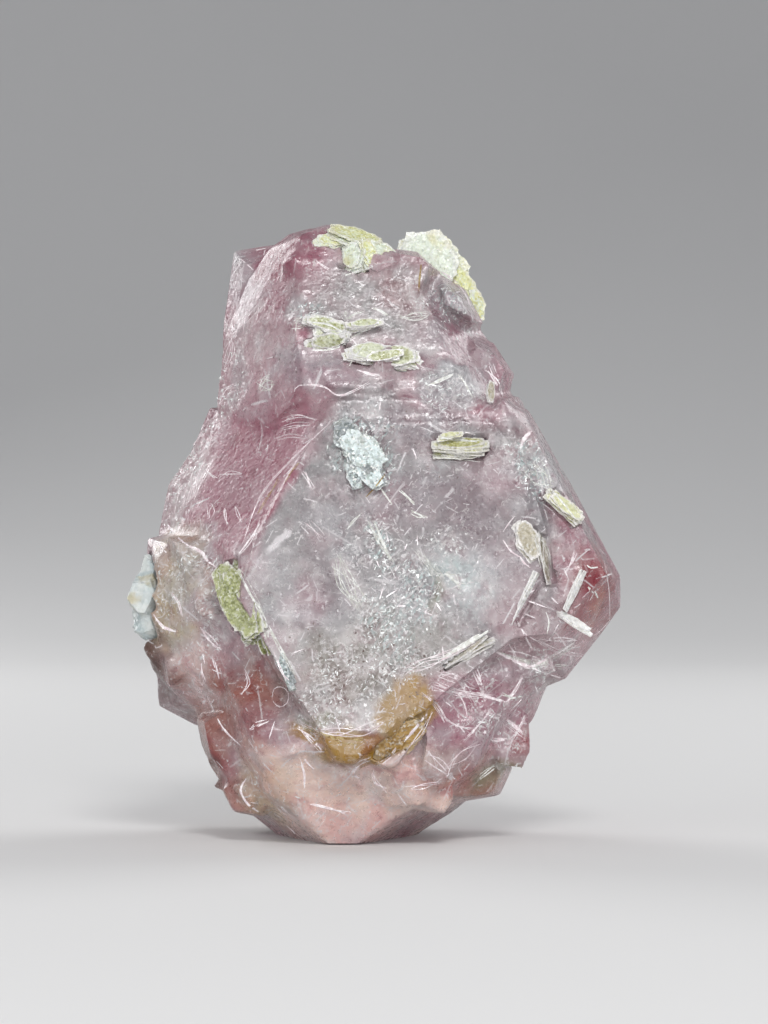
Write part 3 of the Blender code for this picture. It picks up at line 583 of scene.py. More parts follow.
class Finish:
    """A material made of nodes around one Principled shader."""

    name: str

    def build(self) -> bpy.types.Material:
        """Makes the material.

        Returns:
            The new material.
        """
        material = bpy.data.materials.new(self.name)
        material.use_nodes = True
        wires = Wiring(material.node_tree)
        shader = material.node_tree.nodes["Principled BSDF"]
        place = wires.scaled(wires.add("ShaderNodeTexCoord").outputs["Object"], 1 / MM)
        self.wire(wires, shader, place)
        return material

    def wire(self, wires: Wiring, shader: bpy.types.Node, place: bpy.types.NodeSocket) -> None:
        """Joins this finish's patterns to the shader.

        Args:
            wires: Where the nodes go.
            shader: The Principled shader.
            place: The place in millimetres.
        """
        raise NotImplementedError


@dataclass(frozen=True)
class ApatiteFinish(Finish):
    """Pink crystal, half clear, with veils, cracks, frost, needles and specks."""

    name: str = "apatite"
    transmission: float = 0.36
    ior: float = 1.63
    depth_colour: tuple[float, float, float] = (0.92, 0.74, 0.80)
    depth_density: float = 45.0

    def cracks(self, wires: Wiring, place: bpy.types.NodeSocket, width: float, reach: float,
               share: bpy.types.NodeSocket) -> bpy.types.NodeSocket:
        """Small flat cracks at random angles, which meet the surface as straight lines.

        Args:
            wires: Where the nodes go.
            place: The place in millimetres.
            width: The cracks' half thickness in millimetres.
            reach: The cracks' half length in millimetres.
            share: How many of them show, from 0 to 1.

        Returns:
            1 on a crack, else 0.
        """
        cells = wires.cells(place, 0.85 / reach)
        centre = cells.outputs["Position"]
        away = wires.vector("SUBTRACT", place, centre)
        facing = wires.vector("NORMALIZE", wires.vector("SUBTRACT", cells.outputs["Color"], GREY_MIDDLE))
        across = wires.measure("DOT_PRODUCT", away, facing)
        far = wires.measure("LENGTH", away)
        dice = wires.add("ShaderNodeTexWhiteNoise", {"Vector": centre}, noise_dimensions="3D")
        line = wires.ramp(wires.math("ABSOLUTE", across), width, width * 0.35)
        line = wires.times(line, wires.ramp(far, reach, reach * 0.55))
        line = wires.times(line, wires.math("LESS_THAN", dice.outputs["Value"], share))
        bright = wires.split(dice.outputs["Color"]).outputs[1]
        return wires.times(line, wires.ramp(bright, 0.0, 1.0, 0.35, 1.0))

    def wire(self, wires: Wiring, shader: bpy.types.Node, place: bpy.types.NodeSocket) -> None:
        """Joins this finish's patterns to the shader.

        Args:
            wires: Where the nodes go.
            shader: The Principled shader.
            place: The place in millimetres.
        """
        tint_node = wires.add("ShaderNodeAttribute", attribute_name="tint")
        tint = tint_node.outputs["Color"]
        calm = tint_node.outputs["Alpha"]
        lively = wires.math("SUBTRACT", 1.0, wires.times(calm, 0.85))
        marks_node = wires.add("ShaderNodeAttribute", attribute_name="marks")
        marks = wires.split(marks_node.outputs["Color"])
        frost, silver, needle = marks.outputs[0], marks.outputs[1], marks.outputs[2]
        speck = marks_node.outputs["Alpha"]

        fine_noise = wires.noise(place, 2.2, 4.0)
        fine = fine_noise.outputs[0]
        bend = wires.vector("SUBTRACT", fine_noise.outputs["Color"], GREY_MIDDLE)
        bent = wires.vector("ADD", place, wires.scaled(bend, 0.35))
        nearly = wires.vector("ADD", place, wires.scaled(bend, 0.12))

        # cloud inside: milky wisps and deeper clear places
        cloud = wires.noise(bent, 0.75, 5.0)
        cloud.inputs["Roughness"].default_value = 0.66
        milk = wires.times(wires.ramp(cloud.outputs[0], 0.5, 0.66), lively)
        deep = wires.ramp(cloud.outputs[0], 0.47, 0.34)
        dark = wires.vector("MULTIPLY", tint, (0.66, 0.52, 0.56))
        colour = wires.blend(wires.times(deep, 0.75), tint, dark)
        colour = wires.blend(wires.times(milk, 0.32), colour, linear(218, 213, 216))

        # broken, sugary surface; the darker crumbs are painted shade of small facets and the glints are painted
        # highlights
        crumbs = wires.cells(bent, 4.2)
        crumb_light = wires.split(crumbs.outputs["Color"])
        sugar = wires.times(wires.ramp(crumb_light.outputs[0], 0.5, 0.95), wires.ramp(fine, 0.42, 0.6))
        sugar = wires.times(sugar, wires.times(wires.ramp(frost, 0.05, 0.8), lively))
        shade = wires.times(wires.ramp(crumb_light.outputs[0], 0.4, 0.05), wires.ramp(frost, 0.25, 1.0))
        glints = wires.times(wires.ramp(crumb_light.outputs[1], 0.9, 0.94),
                            wires.ramp(crumbs.outputs["Distance"], 0.42, 0.28))
        glints = wires.times(glints, wires.math("ADD", frost, 0.4, clamp=True))

        # thin bright lines where cracks meet the surface
        contour = wires.math("SUBTRACT", wires.noise(bent, 0.62, 3.0).outputs[0], 0.5)
        contour = wires.math("ABSOLUTE", contour)
        lines = wires.times(wires.ramp(contour, 0.011, 0.003), wires.ramp(fine, 0.48, 0.6))
        net = wires.math("ABSOLUTE", wires.math("SUBTRACT", wires.noise(bent, 2.1, 2.0).outputs[0], 0.5))
        net = wires.times(wires.ramp(net, 0.035, 0.008), wires.ramp(crumb_light.outputs[2], 0.45, 0.6))
        net = wires.times(net, wires.ramp(frost, 0.1, 0.6))
        some = wires.math("ADD", wires.times(needle, 0.7), 0.12)
        many = wires.math("ADD", wires.times(frost, 0.9), wires.times(needle, 0.35))
        cracks = self.cracks(wires, nearly, 0.085, 1.7, some)
        cracks = wires.math("MAXIMUM", cracks, self.cracks(wires, nearly, 0.055, 0.75, some))
        cracks = wires.math("MAXIMUM", cracks, self.cracks(wires, bent, 0.045, 0.34, many))

        # silver patches: dense thin mica just under the face
        streak_place = wires.add("ShaderNodeMapping", {
            "Vector": bent, "Rotation": (0, math.radians(32), 0),
            "Scale": (0.32, 0.32, 1.2)}, vector_type="TEXTURE").outputs[0]
        flecks = wires.split(wires.cells(streak_place, 2.6).outputs["Color"]).outputs[0]
        streaks = wires.noise(streak_place, 1.0, 3.0).outputs[0]
        silver = wires.times(silver, wires.ramp(streaks, 0.36, 0.56))
        fleck = wires.times(silver, wires.ramp(flecks, 0.3, 0.9))

        dots = wires.cells(bent, 2.2)
        few = wires.split(dots.outputs["Color"]).outputs[0]
        dot = wires.ramp(dots.outputs["Distance"], 0.22, 0.12)
        dot = wires.times(dot, wires.math("LESS_THAN", few, speck))

        # painted shade on the darker crumbs
        colour = wires.blend(wires.times(shade, 0.3), colour, dark)
        colour = wires.blend(wires.times(sugar, 0.75), colour, Mineral.WHITE.value)
        colour = wires.blend(wires.times(fleck, 0.9), colour, Mineral.SILVER.value)
        colour = wires.blend(wires.times(lines, 0.6), colour, Mineral.WHITE.value)
        colour = wires.blend(wires.times(net, 0.75), colour, linear(244, 244, 242))
        colour = wires.blend(wires.times(cracks, 0.85), colour, linear(242, 238, 240))
        # painted highlights: near-white glints on a few small crumbs
        colour = wires.blend(wires.times(glints, 0.95), colour, linear(252, 250, 250))
        colour = wires.blend(wires.times(dot, 0.85), colour, linear(84, 54, 40))

        # facets too small for the mesh turn the light
        lean = wires.vector("SUBTRACT", crumbs.outputs["Color"], GREY_MIDDLE)
        share = wires.math("ADD", wires.times(frost, 0.6), wires.times(silver, 0.6))
        share = wires.times(wires.math("ADD", share, 0.09, clamp=True), lively)
        lean = wires.scaled(lean, share)
        normal = wires.vector("ADD", wires.add("ShaderNodeNewGeometry").outputs["Normal"], lean)
        normal = wires.vector("NORMALIZE", normal)
        bump = wires.add("ShaderNodeBump", {
            "Height": wires.noise(place, 2.6, 2.0).outputs[0], "Normal": normal,
            "Strength": 0.4, "Distance": 0.00012})

        rough = wires.math("ADD", wires.ramp(fine, 0.35, 0.7, 0.24, 0.42), wires.times(frost, 0.1))
        rough = wires.math("SUBTRACT", rough, wires.times(glints, 0.15))
        links = wires.tree.links
        links.new(colour, shader.inputs["Base Color"])
        links.new(rough, shader.inputs["Roughness"])
        links.new(bump.outputs[0], shader.inputs["Normal"])
        shader.inputs["IOR"].default_value = self.ior
        shader.inputs["Transmission Weight"].default_value = self.transmission
        depth = {"Color": (*self.depth_colour, 1.0), "Density": self.depth_density}
        volume = wires.add("ShaderNodeVolumeAbsorption", depth)
        output = wires.tree.nodes["Material Output"]
        links.new(volume.outputs[0], output.inputs["Volume"])


@dataclass(frozen=True)
class MicaFinish(Finish):
    """Pearly mica sheets with striated edges and small bright glints."""

    name: str
    pale: tuple[float, float, float]
    deep: tuple[float, float, float]
    stain: tuple[float, float, float]
    stain_share: float = 0.35
    roughness: float = 0.3
    rim_white: float = 0.5
    flecks: float = 0.35
    glints: float = 0.4
    deepening: tuple[float, float] = (0.42, 0.85)
    border: float = 0.74

    def wire(self, wires: Wiring, shader: bpy.types.Node, place: bpy.types.NodeSocket) -> None:
        """Joins this finish's patterns to the shader.

        Args:
            wires: Where the nodes go.
            shader: The Principled shader.
            place: The place in millimetres.
        """
        sheet = wires.add("ShaderNodeAttribute", attribute_name="sheet").outputs["Fac"]
        rim = wires.add("ShaderNodeAttribute", attribute_name="rim").outputs["Fac"]
        border = wires.add("ShaderNodeAttribute", attribute_name="border").outputs["Fac"]
        rim = wires.math("MAXIMUM", rim, wires.ramp(border, self.border, self.border + 0.2))
        cloud = wires.noise(place, 0.9, 6.0).outputs[0]
        fine = wires.noise(place, 5.0, 6.0).outputs[0]
        flakes = wires.cells(place, 6.0)
        light = wires.split(flakes.outputs["Color"])
        share = wires.math("ADD", wires.times(sheet, 0.4), wires.times(cloud, 0.4))
        share = wires.math("ADD", share, wires.times(light.outputs[1], 0.3))
        colour = wires.blend(wires.ramp(share, *self.deepening), self.pale, self.deep)
        stain = wires.ramp(wires.noise(place, 0.55, 5.0).outputs[0], 0.5, 0.68, 0.0, self.stain_share)
        colour = wires.blend(stain, colour, self.stain)
        colour = wires.blend(wires.ramp(fine, 0.5, 0.75, 0.0, 0.45), colour, Mineral.WHITE.value)
        colour = wires.blend(wires.times(rim, self.rim_white), colour, Mineral.WHITE.value)
        dim = wires.vector("MULTIPLY", colour, (0.62, 0.64, 0.6))
        colour = wires.blend(wires.ramp(light.outputs[2], 0.6, 0.1, 0.0, self.flecks), colour, dim)
        # painted highlights: near-white glints on a few flakes
        glint = wires.ramp(light.outputs[0], 0.86, 0.94, 0.0, self.glints)
        colour = wires.blend(glint, colour, linear(250, 250, 244))
        lean = wires.scaled(wires.vector("SUBTRACT", flakes.outputs["Color"], GREY_MIDDLE), 0.55)
        normal = wires.vector("ADD", wires.add("ShaderNodeNewGeometry").outputs["Normal"], lean)
        normal = wires.vector("NORMALIZE", normal)
        bump = wires.add("ShaderNodeBump", {
            "Height": fine, "Normal": normal, "Strength": 0.6, "Distance": 0.00006})
        links = wires.tree.links
        links.new(colour, shader.inputs["Base Color"])
        rough = wires.ramp(fine, 0.3, 0.7, self.roughness - 0.12, self.roughness + 0.12)
        links.new(rough, shader.inputs["Roughness"])
        links.new(bump.outputs[0], shader.inputs["Normal"])
        shader.inputs["IOR"].default_value = MICA_IOR
        shader.inputs["Coat Weight"].default_value = 0.35
        shader.inputs["Coat Roughness"].default_value = 0.12
        shader.inputs["Subsurface Weight"].default_value = 0.15
        shader.inputs["Subsurface Radius"].default_value = (1.0, 0.9, 0.6)
        shader.inputs["Subsurface Scale"].default_value = 0.0008


@dataclass(frozen=True)
class AlbiteFinish(Finish):
    """Pale bluish white, finely granular."""

    name: str = "albite"

    def wire(self, wires: Wiring, shader: bpy.types.Node, place: bpy.types.NodeSocket) -> None:
        """Joins this finish's patterns to the shader.

        Args:
            wires: Where the nodes go.
            shader: The Principled shader.
            place: The place in millimetres.
        """
        cloud = wires.noise(place, 0.8, 6.0).outputs[0]
        flakes = wires.cells(place, 4.0)
        colour = wires.blend(wires.ramp(cloud, 0.35, 0.65), linear(180, 191, 192), linear(208, 212, 209))
        stain = wires.ramp(wires.noise(place, 0.5, 4.0).outputs[0], 0.56, 0.7, 0.0, 0.6)
        colour = wires.blend(stain, colour, linear(176, 160, 112))
        lean = wires.scaled(wires.vector("SUBTRACT", flakes.outputs["Color"], GREY_MIDDLE), 0.45)
        normal = wires.vector("ADD", wires.add("ShaderNodeNewGeometry").outputs["Normal"], lean)
        links = wires.tree.links
        links.new(colour, shader.inputs["Base Color"])
        links.new(wires.vector("NORMALIZE", normal), shader.inputs["Normal"])
        links.new(wires.ramp(cloud, 0.3, 0.7, 0.25, 0.5), shader.inputs["Roughness"])
        shader.inputs["Subsurface Weight"].default_value = 0.3
        shader.inputs["Subsurface Radius"].default_value = (1.0, 1.0, 0.9)
        shader.inputs["Subsurface Scale"].default_value = 0.001


@dataclass(frozen=True)
class FloorFinish(Finish):
    """Plain pale board."""

    name: str = "floor"
    colour: tuple[float, float, float] = (0.74, 0.735, 0.73)

    def wire(self, wires: Wiring, shader: bpy.types.Node, place: bpy.types.NodeSocket) -> None:
        """Joins this finish's patterns to the shader.

        Args:
            wires: Not used.
            shader: The Principled shader.
            place: Not used.
        """
        shader.inputs["Base Color"].default_value = (*self.colour, 1.0)
        shader.inputs["Roughness"].default_value = 0.75


def link(name: str, mesh: bpy.types.Mesh) -> bpy.types.Object:
    """Adds a mesh to the scene as an object.

    Args:
        name: The object's name.
        mesh: Its mesh.

    Returns:
        The new object.
    """
    obj = bpy.data.objects.new(name, mesh)
    bpy.context.scene.collection.objects.link(obj)
    return obj


def settled(obj: bpy.types.Object) -> bpy.types.Mesh:
    """The plain mesh of an object as its modifiers leave it.

    Args:
        obj: The object.

    Returns:
        A new mesh without modifiers.
    """
    bpy.context.view_layer.update()
    evaluated = obj.evaluated_get(bpy.context.evaluated_depsgraph_get())
    return bpy.data.meshes.new_from_object(evaluated)


def surface_of(pieces: list[bpy.types.Object]) -> BVHTree:
    """The pieces' common surface, for finding places on it.

    Args:
        pieces: The objects.

    Returns:
        A tree of all their faces.
    """
    whole = bmesh.new()
    for piece in pieces:
        whole.from_mesh(piece.data)
    surface = BVHTree.FromBMesh(whole)
    whole.free()
    return surface


def points_of(mesh: bpy.types.Mesh) -> np.ndarray:
    """A mesh's vertices as an array, in metres.

    Args:
        mesh: The mesh.

    Returns:
        Places, shape (n, 3).
    """
    flat = np.empty(len(mesh.vertices) * 3)
    mesh.vertices.foreach_get("co", flat)
    return flat.reshape(-1, 3)


def normals_of(mesh: bpy.types.Mesh) -> np.ndarray:
    """A mesh's vertex normals as an array.

    Args:
        mesh: The mesh.

    Returns:
        Directions of length 1, shape (n, 3).
    """
    flat = np.empty(len(mesh.vertices) * 3, dtype=np.float32)
    mesh.vertex_normals.foreach_get("vector", flat)
    return flat.reshape(-1, 3).astype(float)


def move_points(mesh: bpy.types.Mesh, points: np.ndarray) -> None:
    """Writes vertices back, in metres."""
    mesh.vertices.foreach_set("co", points.ravel())
    mesh.update()


@dataclass
class CrystalBody:
    """The fused apatite crystals, at fine detail, in place of their plain solid."""

    node: str = "apatite_crystals"
    name: str = "apatite_surface"
    voxel: float = 0.00021
    edge_pull: float = 0.00016
    sharp_degrees: float = 24.0
    edge_degrees: float = 14.0
    mica_reach: float = 0.00036
    triangles: int = 196000
    rounding: int = 7
    filling: int = 12
    finish: ApatiteFinish = field(default_factory=ApatiteFinish)

    def solid(self) -> bmesh.types.BMesh:
        """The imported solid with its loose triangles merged.

        Returns:
            The solid as one closed mesh.
        """
        solid = bmesh.new()
        solid.from_mesh(frame["nodes"][self.node].data)
        bmesh.ops.remove_doubles(solid, verts=solid.verts, dist=1e-7)
        bmesh.ops.recalc_face_normals(solid, faces=solid.faces)
        return solid

    def remeshed(self, solid: bmesh.types.BMesh) -> bpy.types.Mesh:
        """An even fine mesh over the solid.

        Args:
            solid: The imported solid.

        Returns:
            The fine mesh.
        """
        mesh = bpy.data.meshes.new("coarse")
        solid.to_mesh(mesh)
        helper = link("coarse", mesh)
        remesh = helper.modifiers.new("fine", "REMESH")
        remesh.mode = "VOXEL"
        remesh.voxel_size = self.voxel
        fine = settled(helper)
        bpy.data.objects.remove(helper)
        return fine

    def snap(self, mesh: bpy.types.Mesh, solid: bmesh.types.BMesh) -> None:
        """Brings the fine mesh's vertices back onto the solid's faces and edges.

        Args:
            mesh: The fine mesh.
            solid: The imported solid.
        """
        surface = BVHTree.FromBMesh(solid)
        marks = []
        for edge in solid.edges:
            if len(edge.link_faces) == 2 and edge.calc_face_angle(0.0) > math.radians(self.edge_degrees):
                first, second = (v.co for v in edge.verts)
                steps = max(1, int((second - first).length / (self.voxel * 0.25)))
                marks += [first.lerp(second, i / steps) for i in range(steps + 1)]
        edges = KDTree(len(marks))
        for i, mark in enumerate(marks):
            edges.insert(mark, i)
        edges.balance()
        held = self.held_mica()
        points = points_of(mesh)
        for i, point in enumerate(points):
            near, _, _, _ = surface.find_nearest(Vector(point))
            touching = held.find_nearest(near, self.mica_reach)[0] if held else None
            if touching is not None:
                points[i] = touching
                continue
            mark, _, distance = edges.find(near)
            points[i] = mark if distance < self.edge_pull else near
        move_points(mesh, points)

    def held_mica(self) -> BVHTree | None:
        """The surfaces of all mica solids, which the crystals close around.

        Returns:
            Their faces, or None without mica.
        """
        whole = bmesh.new()
        for name, node in frame["nodes"].items():
            if name.startswith("mica_") and self.mica_reach > 0:
                whole.from_mesh(node.data)
        held = BVHTree.FromBMesh(whole) if whole.faces else None
        whole.free()
        return held

    def round_off(self, mesh: bpy.types.Mesh) -> None:
        """Fills narrow creases, and rounds the corners where the specimen was broken.

        Args:
            mesh: The fine mesh.
        """
        points = points_of(mesh)
        places = points / MM
        worn = np.zeros(len(points))
        for i, zone in enumerate(WORN):
            np.maximum(worn, zone.mask(places, 700 + 7 * i), out=worn)
        standing = smooth(0.0, 0.5, places[:, 2])
        ends = np.empty(len(mesh.edges) * 2, dtype=np.int64)
        mesh.edges.foreach_get("vertices", ends)
        first, second = ends.reshape(-1, 2).T
        count = np.bincount(ends, minlength=len(points))
        for step in range(self.filling):
            total = np.stack([
                np.bincount(first, points[second, k], len(points))
                + np.bincount(second, points[first, k], len(points))
                for k in range(3)], axis=1)
            away = total / count[:, None] - points
            crease = np.sum(away * normals_of(mesh), axis=1) > 0.03 * self.voxel
            share = np.where(crease, 0.9, worn * 0.8 * (step < self.rounding))
            points += away * (share * standing)[:, None]
            move_points(mesh, points)

    def relief(self, mesh: bpy.types.Mesh) -> None:
        """Breaks the surface into small tilted facets, only ever inwards.

        Args:
            mesh: The fine mesh.
        """
        points = points_of(mesh) / MM
        frost = self.marks(points)[:, Mark.FROST.value]
        flat_zone = Zone(Mark.FROST, (1.0, 20.6), (14.0, 12.0), 1.0, 0, -12.5, 4.5, 0.12, 0.05)
        flat_end = flat_zone.mask(points, 5)
        broken = (0.06 + 0.8 * frost + 0.15 * Grain.layered(points, 5.0, 41)) * (1 - 0.72 * flat_end)
        broken = np.clip(broken, 0.02, 1.0)
        wide, _ = Grain.chips(points + 0.25 * Grain.value(points, 0.9, 51)[:, None], 1.9, 61)
        small, _ = Grain.chips(points, 0.8, 71)
        depth = 0.5 + 0.32 * wide + 0.2 * small + 0.1 * Grain.layered(points, 0.7, 81)
        sink = np.clip(depth, 0.0, 1.2) * broken * 0.3 * MM
        keep = smooth(0.0, 0.6, points[:, 2])
        move_points(mesh, points_of(mesh) - normals_of(mesh) * (sink * keep)[:, None])

    def level(self, mesh: bpy.types.Mesh) -> None:
        """Lowers the terraces on the flat end until they barely show.

        Args:
            mesh: The fine mesh.
        """
        points = points_of(mesh)
        places = points / MM
        flat_zone = Zone(Mark.FROST, (1.0, 20.6), (13.4, 11.6), 1.0, 0, -12.5, 4.5, 0.1, 0.03)
        flat_end = flat_zone.mask(places, 5)
        height = (-14.9 + 0.06 * places[:, 0] + 0.15 * places[:, 2]) - places[:, 1]
        share = flat_end * smooth(0.55, 0.4, np.abs(height)) * 0.85
        points[:, 1] += share * height * MM
        move_points(mesh, points)

    def thinned(self, mesh: bpy.types.Mesh) -> bpy.types.Mesh:
        """The mesh with fewer triangles where it is flat.

        Args:
            mesh: The fine mesh.

        Returns:
            A new, lighter mesh.
        """
        mesh.calc_loop_triangles()
        helper = link("thick", mesh)
        fewer = helper.modifiers.new("fewer", "DECIMATE")
        fewer.ratio = min(1.0, self.triangles / len(mesh.loop_triangles))
        fewer.use_collapse_triangulate = True
        thinner = settled(helper)
        bpy.data.objects.remove(helper)
        return thinner

    def marks(self, points: np.ndarray) -> np.ndarray:
        """What is painted at each point.

        Args:
            points: Places in millimetres, shape (n, 3).

        Returns:
            One column for each Mark, from 0 to 1.
        """
        marks = np.zeros((len(points), len(Mark)))
        behind = smooth(1.0, 5.0, points[:, 1])
        frost = 0.16 * smooth(-0.2, 0.7, Grain.layered(points, 3.0, 17))
        marks[:, Mark.FROST.value] = frost + 0.5 * behind * smooth(0.0, 0.6, Grain.layered(points, 4.5, 19))
        marks[:, Mark.NEEDLES.value] = 0.3 + 0.1 * behind
        for i, zone in enumerate(MARKS):
            column = marks[:, zone.what.value]
            np.maximum(column, zone.mask(points, 900 + 7 * i), out=column)
        patchy = smooth(-0.5, 0.4, Grain.layered(points, 1.8, 23))
        marks[:, Mark.FROST.value] *= 0.25 + 0.75 * patchy
        marks[:, Mark.NEEDLES.value] *= smooth(-0.4, 0.3, Grain.layered(points, 2.6, 29))
        marks[:, :Mark.SPECKS.value] *= (1 - 0.7 * self.clearness(points))[:, None]
        return marks

    def paint(self, mesh: bpy.types.Mesh) -> None:
        """Stores the tints and marks on the mesh.

        Args:
            mesh: The fine mesh.
        """
        points = points_of(mesh) / MM
        drift = np.stack([Grain.layered(points, 3.0, 300 + k, 3) for k in range(3)], axis=1)
        bent = points + 0.6 * drift
        colour = np.tile(np.array(Mineral.PALE_PINK.value), (len(points), 1))
        colour = self.mixed(colour, Mineral.ROSE, smooth(-0.3, 0.8, Grain.layered(points, 5.5, 11)))
        for i, zone in enumerate(TINTS):
            colour = self.mixed(colour, zone.what, zone.mask(bent, 100 + 7 * i))
        calm = 1 - 0.8 * self.clearness(bent)
        haze = smooth(-0.1, 0.6, Grain.layered(bent, 2.2, 31))
        colour = self.mixed(colour, Mineral.CLEAR, 0.4 * calm * haze)
        deep = smooth(0.1, 0.7, Grain.layered(bent, 2.8, 33)) * (1 - colour[:, 1] / colour[:, 0])
        colour = colour * (1 - 0.9 * deep[:, None] * np.array((0.35, 1.0, 0.8)))
        veils = smooth(0.62, 0.86, Grain.ridged(bent, 3.6, 37))
        veils *= smooth(-0.5, 0.4, Grain.layered(points, 5.0, 43))
        colour = self.mixed(colour, Mineral.WHITE, 0.6 * veils * calm)
        wisps = smooth(0.68, 0.9, Grain.ridged(bent, 1.4, 45))
        wisps *= smooth(-0.3, 0.5, Grain.layered(points, 3.0, 49))
        colour = self.mixed(colour, Mineral.WHITE, 0.5 * wisps * calm)
        blotches = smooth(0.0, 0.7, Grain.layered(bent, 1.1, 47))
        colour = self.mixed(colour, Mineral.PALE_PINK, 0.3 * calm * blotches)
        self.store(mesh, "tint", np.column_stack([colour, self.clearness(bent)]))
        self.store(mesh, "marks", self.marks(points))

    @staticmethod
    def clearness(points: np.ndarray) -> np.ndarray:
        """Where the crystal is calm and deep in colour, with little milk in it.

        Args:
            points: Places in millimetres, shape (n, 3).

        Returns:
            One number from 0 to 1 for each point.
        """
        calm = np.zeros(len(points))
        for i, zone in enumerate(CALM):
            np.maximum(calm, zone.mask(points, 500 + 7 * i), out=calm)
        return calm

    @staticmethod
    def mixed(colour: np.ndarray, other: Mineral, share: np.ndarray) -> np.ndarray:
        """Colours mixed towards one mineral colour by a share for each point."""
        return colour * (1 - share[:, None]) + np.array(other.value) * share[:, None]

    @staticmethod
    def store(mesh: bpy.types.Mesh, name: str, values: np.ndarray) -> None:
        """Writes one colour for each vertex."""
        attribute = mesh.color_attributes.new(name, "FLOAT_COLOR", "POINT")
        attribute.data.foreach_set("color", np.clip(values, 0, 1).astype(np.float32).ravel())

    def build(self) -> bpy.types.Object:
        """Makes the crystal surface.

        Returns:
            The finished piece.
        """
        solid = self.solid()
        mesh = self.remeshed(solid)
        self.snap(mesh, solid)
        solid.free()
        self.round_off(mesh)
        self.level(mesh)
        self.relief(mesh)
        mesh = self.thinned(mesh)
        self.paint(mesh)
        mesh.shade_smooth()
        mesh.set_sharp_from_angle(angle=math.radians(self.sharp_degrees))
        mesh.materials.clear()
        mesh.materials.append(self.finish.build())
        piece = link(self.name, mesh)
        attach(piece, ROOT)
        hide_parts(self.node)
        return piece


@dataclass(frozen=True)
class MicaBook:
    """One stack of thin six-sided mica sheets, in millimetres."""

    centre: tuple[float, float, float]
    facing: tuple[float, float, float]
    along: tuple[float, float, float]
    half_length: float
    half_width: float
    thickness: float
    sheets: int
    seed: int
    curl: float = 0.0
    tilt: float = 3.0

    def placing(self) -> Matrix:
        """The turn and place of the book, in metres.

        Returns:
            The matrix that places the book.
        """
        normal = Vector(self.facing).normalized()
        along = Vector(self.along)
        along = (along - normal * along.dot(normal)).normalized()
        across = normal.cross(along)
        turn = Matrix((along, across, normal)).transposed().to_4x4()
        return Matrix.Translation(Vector(self.centre) * MM) @ turn


